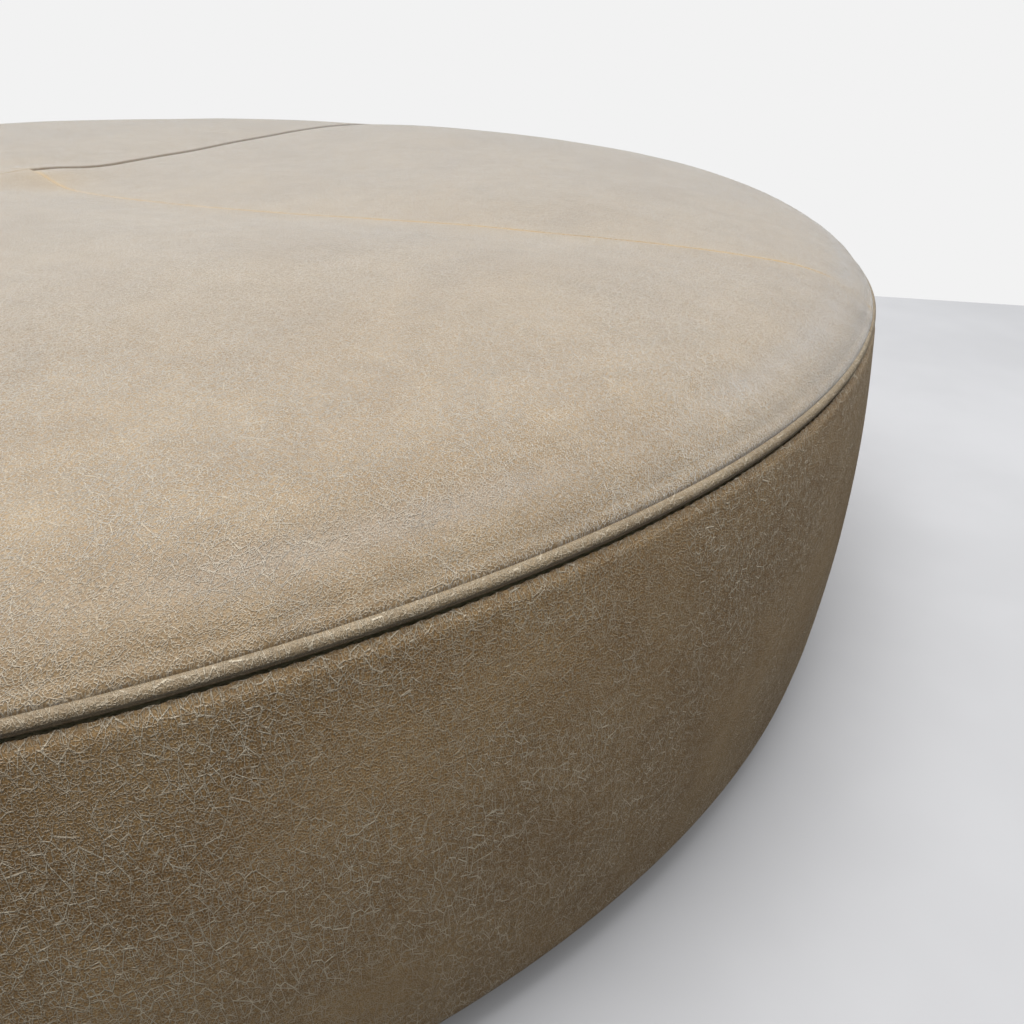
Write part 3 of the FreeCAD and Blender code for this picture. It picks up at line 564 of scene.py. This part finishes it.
def capsules(name, starts, ends, sides=6):
    """Short rounded stitches from starts to ends, as one mesh."""
    way = ends - starts
    way = way / np.linalg.norm(way, axis=1, keepdims=True)
    across = np.cross(way, [0, 0, 1.0])
    across = across / np.linalg.norm(across, axis=1, keepdims=True)
    up = np.cross(across, way)
    cap = ((-0.5, 0.35), (0.1, 0.85), (0.6, 1.0))
    rings = [(starts, reach, wide) for reach, wide in cap]
    rings += [(ends, -reach, wide) for reach, wide in cap[::-1]]
    points = []
    for base, reach, wide in rings:
        for side in range(sides):
            turn = 2 * math.pi * side / sides
            out = across * math.cos(turn) + up * math.sin(turn)
            points.append(base + (way * reach + out * wide) * THREAD_RADIUS)
    points = np.stack(points, axis=1).reshape(-1, 3)
    size = len(rings) * sides
    one = [f[::-1] for f in grid_faces(np.arange(size).reshape(len(rings), sides), closed=True)]
    one += [list(range(sides)), list(range(size - 1, size - 1 - sides, -1))]
    faces = [[v + size * k for v in face] for k in range(len(starts)) for face in one]
    return build_mesh(name, points, faces)


def edge_stitches():
    """The hidden stitches through the edge seam, behind the welt."""
    turn = np.arange(round(2 * math.pi * SEAM_RADIUS / STITCH_PITCH)) * STITCH_PITCH / SEAM_RADIUS
    half = STITCH_LENGTH / 2 / SEAM_RADIUS
    ends = []
    for angle in (turn - half, turn + half):
        out, up = rim_wave(angle)
        r = SEAM_RADIUS - STITCH_INSET + out
        z = SEAM_LEVEL - STITCH_DROP + up
        ends.append(np.stack([r * np.cos(angle), r * np.sin(angle), z], axis=1))
    thread = capsules("edge_stitches", *ends)
    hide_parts("edge_seam_thread")
    return thread


def top_stitches():
    """The stitches that show in the first cross seam and lie deep in the other three."""
    starts, ends = [], []
    for k in range(4):
        first = np.arange(4 * MM, crown.length - 6 * MM, STITCH_PITCH)
        sink = SHOWN_SINK if k == 0 else HIDDEN_SINK
        for place, kept in ((first, starts), (first + STITCH_LENGTH, ends)):
            radius = crown.point(place)[0]
            angle = np.full(len(place), k * math.pi / 2)
            after = radius * math.pi / 2
            x, y, z = top_place(place, angle, 0 * place, after, k)
            kept.append(np.stack([x, y, z - sink], axis=1))
    thread = capsules("top_stitches", np.vstack(starts), np.vstack(ends))
    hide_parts("top_seam_thread")
    return thread


# Padding

PAD_DEPTH = LEATHER + 2.2 * MM
WADDING = 10 * MM
PAD_GAP = 0.5 * MM
PAD_EDGE = 6 * MM
CHANNEL_DEPTH = 4.5 * MM
CHANNEL_WIDTH = 5 * MM
SIDE_PLAY = 0.3 * MM
BAND_ROOM = 1.6 * MM


def merged(piece):
    """Join the points that a piece's parts share."""
    shape = bmesh.new()
    shape.from_mesh(piece.data)
    bmesh.ops.remove_doubles(shape, verts=shape.verts, dist=0.02 * MM)
    bmesh.ops.recalc_face_normals(shape, faces=shape.faces)
    shape.to_mesh(piece.data)
    shape.free()
    return piece


def top_pad(name, node, upper, lower=None, seat=None):
    """A layer under the top leather: its face at a depth, its back at a depth or on a flat seat."""
    rings, spacing = panel_layout(1.4 * MM, 1.4, 11 * MM, 6 * MM)
    rings = rings * (crown.length - PAD_EDGE) / crown.length
    points, faces, count = [], [], 0
    for quarter in range(4):
        distance, angle, near, after = quarter_grid(quarter, (rings, spacing))
        n = len(rings)
        rim = rim_index(n)
        channel = CHANNEL_DEPTH * np.clip(bell(near, CHANNEL_WIDTH) + bell(after, CHANNEL_WIDTH), 0, 1)
        x, y, z = top_place(distance, angle, near, after, quarter, upper, worn=False)
        face = np.stack([x, y, z - channel], axis=2).reshape(-1, 3)
        if seat is None:
            x, y, z = top_place(distance, angle, near, after, quarter, lower, worn=False)
            back = np.stack([x, y, z], axis=2).reshape(-1, 3)
        else:
            back = face * [1, 1, 0] + [0, 0, seat]
        grid = np.arange(n * n).reshape(n, n)
        faces += grid_faces(grid + count) + [f[::-1] for f in grid_faces(grid + count + n * n)]
        faces += grid_faces(np.stack([rim + count, rim + count + n * n]))
        points += [face, back]
        count += 2 * n * n
    pad = merged(build_mesh(name, np.vstack(points), faces))
    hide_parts(node)
    return pad


def turned_pad(name, section, node, cells=256):
    """A ring of padding turned from a closed section."""
    angle = np.arange(cells) / cells * 2 * math.pi
    section = np.array(section)
    r, z = section[:, :1], section[:, 1:]
    points = np.stack([r * np.cos(angle), r * np.sin(angle), z + 0 * angle], axis=2).reshape(-1, 3)
    index = np.arange(len(section) * cells).reshape(len(section), cells)
    faces = grid_faces(np.concatenate([index, index[:1]]), closed=True)
    pad = merged(build_mesh(name, points, faces))
    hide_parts(node)
    return pad


def rounded_box(near, far, low, high, corner):
    """Closed outline of a rectangle with rounded corners."""
    outline = []
    middles = ((far - corner, high - corner), (near + corner, high - corner),
               (near + corner, low + corner), (far - corner, low + corner))
    for k, (across, up) in enumerate(middles):
        for step in range(5):
            turn = (k + step / 4) * math.pi / 2
            outline.append((across + corner * math.cos(turn), up + corner * math.sin(turn)))
    return outline


def side_pads():
    """The foam strip and the wadding between the frame and the band."""
    low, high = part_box("side_foam")
    near = cad_radius("side_skin_1") + SIDE_PLAY
    foam = turned_pad("side_wrap", rounded_box(near, high.x, low.z, high.z, 2 * MM), "side_foam")
    low, high_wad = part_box("side_batting")
    back = high.x + SIDE_PLAY
    rows = np.linspace(low.z + 1 * MM, high_wad.z - 1 * MM, 40)
    swell = np.interp(rows, wall_line().points[::-1, 1], wall_line().points[::-1, 0])
    face = swell - LEATHER - BAND_ROOM
    section = [(back, z) for z in rows[::-1]] + list(zip(face, rows))
    wadding = turned_pad("side_wadding", section, "side_batting")
    return foam, wadding


def cad_radius(node):
    """Largest distance of a CAD node from the axis."""
    points = np.array([v.co for v in frame["nodes"][node].data.vertices])
    return float(np.hypot(points[:, 0], points[:, 1]).max())


# Underside

DUST_CELLS = 288
DUST_STAPLES = 48
DUST_SAG = 2.4 * MM


def dust_cloth():
    """The dust cover: a stretched disc of cloth, slack in the middle and puckered at its staples."""
    low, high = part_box("dust_cover")
    reach = high.x
    rings = np.concatenate([np.linspace(0.001, 0.9, 46)[:-1], np.linspace(0.9, 1, 14)]) * reach
    angle = np.arange(DUST_CELLS) / DUST_CELLS * 2 * math.pi
    r, turn = np.meshgrid(rings, angle, indexing="ij")
    x, y = r * np.cos(turn), r * np.sin(turn)
    sag = -DUST_SAG * (1 - smooth(r, 100 * MM, 440 * MM))
    folds = 0.5 * MM * value_noise(x / (110 * MM) + 20, y / (160 * MM) + 20, 61)
    folds = folds * (1 - smooth(r, 360 * MM, 450 * MM))
    pull = -0.35 * MM * (0.5 - 0.5 * np.cos(DUST_STAPLES * turn)) * smooth(r, 545 * MM, 574 * MM)
    points = np.stack([x, y, low.z + sag + folds + pull], axis=2).reshape(-1, 3)
    points = np.vstack([points, [[0, 0, points[0, 2]]]])
    index = np.arange(r.size).reshape(r.shape)
    faces = grid_faces(index, closed=True)
    first = index[0].tolist()
    faces += [[r.size, after, here] for here, after in zip(first, first[1:] + first[:1])]
    cloth = build_mesh("dust_cloth", points, faces, points)
    thicken(cloth, high.z - low.z)
    cloth.modifiers[-1].offset = 1
    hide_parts("dust_cover")
    return cloth


# Materials

class Nodes:
    """Short calls that add nodes to one material."""

    def __init__(self, name):
        self.material = bpy.data.materials.new(name)
        self.material.use_nodes = True
        self.tree = self.material.node_tree
        self.tree.nodes.clear()
        self.shader = self.add("ShaderNodeBsdfPrincipled")
        output = self.add("ShaderNodeOutputMaterial")
        self.tree.links.new(self.shader.outputs[0], output.inputs[0])

    def add(self, kind, **settings):
        node = self.tree.nodes.new(kind)
        for key, value in settings.items():
            setattr(node, key, value)
        return node

    def feed(self, socket, value):
        if isinstance(value, bpy.types.NodeSocket):
            self.tree.links.new(value, socket)
        elif value is not None:
            socket.default_value = value

    def hide(self):
        return self.add("ShaderNodeAttribute", attribute_name="hide").outputs["Vector"]

    def tint(self, attribute):
        return self.add("ShaderNodeAttribute", attribute_name=attribute).outputs["Fac"]

    def place(self):
        return self.add("ShaderNodeTexCoord").outputs["Object"]

    def scaled(self, vector, scale, shift=(0, 0, 0)):
        node = self.add("ShaderNodeMapping")
        self.feed(node.inputs["Vector"], vector)
        node.inputs["Scale"].default_value = scale
        node.inputs["Location"].default_value = shift
        return node.outputs[0]

    def noise(self, vector, scale, detail=2.0, rough=0.5, twist=0.0, colour=False):
        node = self.add("ShaderNodeTexNoise")
        self.feed(node.inputs["Vector"], vector)
        settings = {"Scale": scale, "Detail": detail, "Roughness": rough, "Distortion": twist}
        for name, value in settings.items():
            node.inputs[name].default_value = value
        return node.outputs["Color" if colour else "Fac"]

    def cells(self, vector, scale):
        """Distance to the nearest border of a net of cells."""
        node = self.add("ShaderNodeTexVoronoi", feature="DISTANCE_TO_EDGE", voronoi_dimensions="2D")
        self.feed(node.inputs["Vector"], vector)
        node.inputs["Scale"].default_value = scale
        return node.outputs["Distance"]

    def math(self, kind, a, b=None, c=None):
        node = self.add("ShaderNodeMath", operation=kind)
        for socket, value in zip(node.inputs, (a, b, c)):
            self.feed(socket, value)
        return node.outputs[0]

    def vector_math(self, kind, a, b):
        node = self.add("ShaderNodeVectorMath", operation=kind)
        for socket, value in zip(node.inputs, (a, b)):
            self.feed(socket, value)
        return node.outputs[0]

    def span(self, value, low, high, to_low=0.0, to_high=1.0):
        """Map a value from one range to another with a smooth step."""
        node = self.add("ShaderNodeMapRange", interpolation_type="SMOOTHSTEP")
        for socket, x in zip(node.inputs, (value, low, high, to_low, to_high)):
            self.feed(socket, x)
        return node.outputs[0]

    def mix(self, share, a, b, kind="MIX"):
        node = self.add("ShaderNodeMix", data_type="RGBA", blend_type=kind)
        self.feed(node.inputs["Factor"], share)
        self.feed(node.inputs["A"], a)
        self.feed(node.inputs["B"], b)
        return node.outputs["Result"]

    def darkened(self, share, colour, tone):
        """Multiply a colour by a tone as far as share says."""
        return self.mix(share, colour, self.mix(1.0, colour, tone, "MULTIPLY"))

    def bump(self, height, depth):
        node = self.add("ShaderNodeBump")
        node.inputs["Strength"].default_value = 1
        node.inputs["Distance"].default_value = depth
        self.feed(node.inputs["Height"], height)
        return node.outputs[0]

    def finish(self, colour=None, roughness=None, normal=None, **fixed):
        self.feed(self.shader.inputs["Base Color"], colour)
        self.feed(self.shader.inputs["Roughness"], roughness)
        self.feed(self.shader.inputs["Normal"], normal)
        for name, value in fixed.items():
            self.shader.inputs[name.replace("_", " ")].default_value = value
        return self.material


def srgb(red, green, blue):
    """A display colour as the linear colour the shader takes."""
    return (*[((c / 255 + 0.055) / 1.055) ** 2.4 for c in (red, green, blue)], 1)


TAN_DARK = srgb(154, 122, 79)
TAN_LIGHT = srgb(178, 146, 100)
TOP_DARK = srgb(147, 121, 85)
TOP_LIGHT = srgb(162, 137, 101)
WELT_DARK = srgb(138, 118, 90)
WELT_LIGHT = srgb(158, 139, 110)
PALE_LINE = srgb(238, 226, 202)
MUSTARD = srgb(188, 154, 92)
# Colour of the painted cool highlight on the shoulder above the welt.
COOL_SHEEN = srgb(194, 194, 196)
# Colour of the painted shade along the seam over the Y axis.
SEAM_SHADE = srgb(84, 68, 48)

# Looks of the three leathers, with lengths in millimetres of hide. "stretch" under 1 draws the cells
# out along the hide's second axis, so that creases run that way. "net", "fold" and "pebble" say how
# pale each kind of line gets, "grain" is pebbles per millimetre, and "bend" is how far they wander.
# "net" also sets how dark the painted shade beside the lines gets.
TOP_LOOK = {"stretch": 0.55, "net": 0.45, "fold": 0.40, "pebble": 0.60, "grain": 1.4, "bend": 8}
BAND_LOOK = {"stretch": 0.48, "net": 0.90, "fold": 0.90, "pebble": 0.50, "grain": 1.2, "bend": 2.5}
WELT_LOOK = {"stretch": 0.30, "net": 0.60, "fold": 0.50, "pebble": 0.35, "grain": 1.3, "bend": 3}


def hairlines(n, place, scale, stretch, width, shift):
    """Thin lines between stretched cells, and the wider painted shade that borders them."""
    edge = n.cells(n.scaled(place, (1, stretch, 1), (shift, shift, 0)), scale)
    line = n.span(edge, width * 0.4, width * 1.6, 1, 0)
    shade = n.span(edge, width, width * 4.5, 1, 0)
    return line, shade


def bent_place(n, flat, bend):
    """The hide's coordinates, wandering by up to half of bend."""
    warp = n.noise(flat, 0.035, 1.0, 0.5, colour=True)
    warp = n.vector_math("SUBTRACT", warp, (0.5, 0.5, 0.5))
    return n.vector_math("ADD", flat, n.vector_math("MULTIPLY", warp, (bend, bend, 0)))


def creases(n, flat, bent, look):
    """Shares of the broken net, of the longer folds and of the painted shade beside both."""
    stretch = look["stretch"]
    wide_net, wide_shade = hairlines(n, bent, 0.25, stretch, 0.027, 0)
    close_net, close_shade = hairlines(n, bent, 0.46, stretch * 1.1, 0.05, 17)
    folds, fold_shade = hairlines(n, bent, 0.25, stretch * 0.6, 0.022, 43)
    areas = n.span(n.noise(flat, 0.014), 0.34, 0.60, 0.55, 1)
    torn = n.span(n.noise(flat, 0.25, 3.0, 0.6), 0.38, 0.56)
    torn_folds = n.span(n.noise(n.scaled(flat, (1, 0.6, 1), (50, 3, 0)), 0.07, 2.0, 0.6), 0.42, 0.56)
    net = n.math("MAXIMUM", wide_net, n.math("MULTIPLY", close_net, 0.75))
    net = n.math("MULTIPLY", n.math("MULTIPLY", net, torn), areas)
    folds = n.math("MULTIPLY", n.math("MULTIPLY", folds, torn_folds), areas)
    beside = n.math("MAXIMUM", n.math("MAXIMUM", wide_shade, close_shade), fold_shade)
    beside = n.math("MULTIPLY", n.math("MULTIPLY", beside, areas), look["net"] * 0.55)
    return net, folds, beside


def top_marks(n, flat, colour):
    """Top only: mustard rub, a painted highlight above the welt and painted shade along a seam."""
    colour = n.mix(n.math("MULTIPLY", n.tint("rub"), 0.8), colour, MUSTARD)
    # Painted highlight, in patches along the shoulder band.
    sheen_patches = n.span(n.noise(flat, 0.006, 3.0), 0.36, 0.62, 0.0, 0.15)
    colour = n.mix(n.math("MULTIPLY", n.tint("painted_sheen"), sheen_patches), colour, COOL_SHEEN)
    return n.mix(n.math("MULTIPLY", n.tint("seam_shade"), 0.85), colour, SEAM_SHADE)


def leather(name, dark, light, look, top=False):
    """Waxed leather: clouded tan, a fine raised grain and a broken net of pale hairline creases."""
    n = Nodes(name)
    flat = n.scaled(n.hide(), (1000, 1000, 1000))
    bent = bent_place(n, flat, look["bend"])
    net, folds, beside = creases(n, flat, bent, look)
    pebbles = n.cells(n.scaled(bent, (1, 0.65, 1), (5, 9, 0)), look["grain"])
    specks = n.span(n.noise(flat, 0.9, 2.0, 0.6), 0.36, 0.62)
    ridges = n.math("MULTIPLY", n.span(pebbles, 0.0, 0.26, 1, 0), specks)
    clouds = n.span(n.noise(flat, 0.011, 4.0, 0.6, 0.4), 0.30, 0.70)
    patches = n.noise(n.scaled(flat, (1, 1, 1), (90, 40, 0)), 0.06, 4.0, 0.65)
    body = n.mix(clouds, dark, light)
    body = n.darkened(n.span(patches, 0.3, 0.7, 0.0, 0.5), body, (0.74, 0.71, 0.66, 1))
    body = n.darkened(n.span(pebbles, 0.12, 0.45, 0.0, 0.55), body, (0.62, 0.58, 0.52, 1))
    # Painted shade beside the crease lines.
    body = n.darkened(beside, body, (0.45, 0.40, 0.34, 1))
    net_line = n.math("MULTIPLY", net, look["net"])
    lines = n.math("MAXIMUM", net_line, n.math("MULTIPLY", folds, look["fold"]))
    lines = n.math("MAXIMUM", lines, n.math("MULTIPLY", ridges, look["pebble"]))
    colour = n.mix(lines, body, PALE_LINE)
    if top:
        colour = top_marks(n, flat, colour)
    height = n.math("MULTIPLY_ADD", n.math("MAXIMUM", net, folds), 0.8, n.math("MULTIPLY", ridges, 0.9))
    height = n.math("MULTIPLY_ADD", n.noise(flat, 0.7, 2.0, 0.6), 1.2, height)
    height = n.math("MULTIPLY_ADD", patches, 2.0, height)
    rough = n.span(patches, 0.3, 0.7, 0.40, 0.56)
    sheen = 0.9 if top else 0.0
    return n.finish(colour, rough, n.bump(height, 0.3 * MM), Specular_IOR_Level=0.5,
                    Sheen_Weight=sheen, Sheen_Roughness=0.4, Sheen_Tint=(0.90, 0.95, 1, 1))


def plain_material(name, dark, light, scale, roughness, depth, metallic=0.0, stretch=(1, 1, 1)):
    """A material with uneven colour and a fine surface, for pieces inside and under the pouf."""
    n = Nodes(name)
    spots = n.noise(n.scaled(n.place(), stretch), scale, 4.0, 0.6)
    colour = n.mix(n.span(spots, 0.3, 0.7), dark, light)
    rough = n.span(spots, 0.2, 0.8, roughness - 0.06, roughness + 0.06)
    return n.finish(colour, rough, n.bump(spots, depth), Metallic=metallic)


def paint(piece, material):
    piece.data.materials.clear()
    piece.data.materials.append(material)


# Stage

VIEW_TURN = math.radians(50)
CAMERA_LENS = 29.85
CAMERA_REACH = 0.799
CAMERA_LEVEL = 0.394
CAMERA_PITCH = 0.5205
CAMERA_YAW = VIEW_TURN - 0.4472
CAMERA_ROLL = 0.0036
FLOOR_TURN = math.radians(11)
FLOOR_EDGE = 0.905
FLOOR_REACH = 4
SKY_LEAN = 0.25
SKY_RISE = 0.97
SKY_SPAN = (-0.30, 1.0, 0.08, 1.30)
TOWARD = Vector((math.sin(VIEW_TURN), -math.cos(VIEW_TURN), 0))


def camera():
    """The camera: close, low and looking past the pouf's middle to its right."""
    data = bpy.data.cameras.new("camera")
    data.sensor_width = 36
    data.lens = CAMERA_LENS
    data.clip_start = 0.01
    view = bpy.data.objects.new("camera", data)
    bpy.context.scene.collection.objects.link(view)
    turn = Matrix.Rotation(CAMERA_YAW, 4, "Z") @ Matrix.Rotation(math.pi / 2 - CAMERA_PITCH, 4, "X")
    place = Matrix.Translation(TOWARD * CAMERA_REACH + Vector((0, 0, CAMERA_LEVEL)))
    view.matrix_world = place @ turn @ Matrix.Rotation(CAMERA_ROLL, 4, "Z")
    bpy.context.scene.camera = view


def soft_light(name, place, size, power):
    """A square soft light that faces the pouf."""
    data = bpy.data.lights.new(name, "AREA")
    data.size = size
    data.energy = power
    lamp = bpy.data.objects.new(name, data)
    bpy.context.scene.collection.objects.link(lamp)
    lamp.location = place
    aim = Vector((0, 0, 0.2)) - Vector(place)
    lamp.rotation_mode = "QUATERNION"
    lamp.rotation_quaternion = aim.to_track_quat("-Z", "Y")


def world():
    """White studio: bright above and a little behind the pouf, dim low down."""
    sky = bpy.data.worlds.new("studio")
    bpy.context.scene.world = sky
    sky.use_nodes = True
    tree = sky.node_tree
    tree.nodes.clear()
    way = tree.nodes.new("ShaderNodeTexCoord")
    dot = tree.nodes.new("ShaderNodeVectorMath")
    dot.operation = "DOT_PRODUCT"
    dot.inputs[1].default_value = -TOWARD * SKY_LEAN + Vector((0, 0, SKY_RISE))
    tree.links.new(way.outputs["Generated"], dot.inputs[0])
    span = tree.nodes.new("ShaderNodeMapRange")
    span.interpolation_type = "SMOOTHSTEP"
    for socket, value in zip(list(span.inputs)[1:5], SKY_SPAN):
        socket.default_value = value
    tree.links.new(dot.outputs["Value"], span.inputs[0])
    light = tree.nodes.new("ShaderNodeBackground")
    light.inputs["Color"].default_value = (0.98, 0.99, 1, 1)
    tree.links.new(span.outputs[0], light.inputs["Strength"])
    backdrop = tree.nodes.new("ShaderNodeBackground")
    backdrop.inputs["Color"].default_value = srgb(242, 242, 242)
    which = tree.nodes.new("ShaderNodeLightPath")
    mix = tree.nodes.new("ShaderNodeMixShader")
    tree.links.new(which.outputs["Is Camera Ray"], mix.inputs[0])
    tree.links.new(light.outputs[0], mix.inputs[1])
    tree.links.new(backdrop.outputs[0], mix.inputs[2])
    output = tree.nodes.new("ShaderNodeOutputWorld")
    tree.links.new(mix.outputs[0], output.inputs[0])


def floor():
    """A plain pale floor that ends a little way behind the pouf."""
    turn = np.array([math.cos(FLOOR_TURN), math.sin(FLOOR_TURN), 0])
    back = np.array([-turn[1], turn[0], 0])
    front = ((-FLOOR_REACH, -FLOOR_REACH), (FLOOR_REACH, -FLOOR_REACH))
    behind = ((FLOOR_REACH, FLOOR_EDGE), (-FLOOR_REACH, FLOOR_EDGE))
    corners = np.array([turn * along + back * away for along, away in front + behind])
    ground = build_mesh("floor", corners, [(0, 1, 2, 3)])
    grey = plain_material("pale_floor", srgb(186, 186, 188), srgb(194, 194, 196), 3, 0.75, 0.02 * MM)
    paint(ground, grey)
    ground.visible_diffuse = False
    ground.visible_glossy = False
    return ground


def cad_materials():
    """Materials of the frame, feet and fixings, by the record's slot."""
    return {
        "plywood": plain_material("plywood", srgb(176, 138, 92), srgb(214, 180, 132), 9, 0.6, 0.15 * MM,
                                  stretch=(1, 12, 1)),
        "pine": plain_material("pine", srgb(196, 152, 98), srgb(226, 190, 140), 14, 0.55, 0.15 * MM,
                               stretch=(3, 3, 0.3)),
        "bent_board": plain_material("bent_board", srgb(120, 92, 62), srgb(146, 116, 82), 60, 0.75,
                                     0.05 * MM),
        "foot": plain_material("foot_plastic", srgb(22, 22, 23), srgb(34, 34, 35), 700, 0.42, 0.03 * MM),
        "screw_steel": plain_material("zinc_steel", srgb(172, 174, 176), srgb(204, 206, 208), 600, 0.35,
                                      0.01 * MM, metallic=1.0),
        "staple_steel": plain_material("staple_steel", srgb(160, 162, 164), srgb(196, 198, 200), 900, 0.35,
                                       0.01 * MM, metallic=1.0),
    }


def dressed_pieces():
    """Every piece with its material."""
    wall = wall_line()
    top_hide = leather("top_hide", TOP_DARK, TOP_LIGHT, TOP_LOOK, top=True)
    band_hide = leather("band_hide", TAN_DARK, TAN_LIGHT, BAND_LOOK)
    welt_hide = leather("welt_hide", WELT_DARK, WELT_LIGHT, WELT_LOOK)
    cotton = plain_material("cotton_cord", srgb(214, 206, 188), srgb(232, 226, 210), 900, 0.85, 0.1 * MM)
    brown = plain_material("brown_thread", srgb(70, 52, 34), srgb(98, 76, 50), 1800, 0.6, 0.05 * MM)
    gold = plain_material("gold_thread", srgb(186, 152, 90), srgb(204, 172, 112), 1800, 0.6, 0.05 * MM)
    wool = plain_material("white_wadding", srgb(226, 226, 224), srgb(244, 244, 242), 120, 0.95, 0.8 * MM)
    sponge = plain_material("cream_foam", srgb(226, 214, 172), srgb(240, 230, 192), 500, 0.9, 0.4 * MM)
    cambric = plain_material("black_cambric", srgb(24, 24, 26), srgb(38, 38, 40), 900, 0.9, 0.08 * MM)
    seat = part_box("top_foam")[0].z
    under_wadding = PAD_DEPTH + WADDING
    pieces = [(leather_panel(quarter), top_hide) for quarter in range(4)]
    pieces += [(band_length(index, wall), band_hide) for index in range(BAND_COUNT)]
    pieces += list(zip(welt(), (welt_hide, cotton)))
    pieces += [(edge_stitches(), brown), (top_stitches(), gold)]
    wadding = top_pad("top_wadding", "top_batting", PAD_DEPTH, lower=under_wadding)
    cushion = top_pad("top_cushion", "top_foam", under_wadding + PAD_GAP, seat=seat)
    pieces += [(wadding, wool), (cushion, sponge)]
    pieces += list(zip(side_pads(), (sponge, wool)))
    return pieces + [(dust_cloth(), cambric)]


def main():
    for piece, material in dressed_pieces():
        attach(piece, "root")
        paint(piece, material)
    hardware = cad_materials()
    for part in frame["record"]["subparts"]:
        node = frame["nodes"][part["node"]]
        if not node.hide_render:
            paint(node, hardware[part["material_slot"]])
    camera()
    world()
    floor()
    soft_light("high_light", TOWARD * 0.45 + Vector((0, 0, 1.7)), 1.0, 19)
    bpy.context.scene.view_settings.view_transform = "Standard"


main()
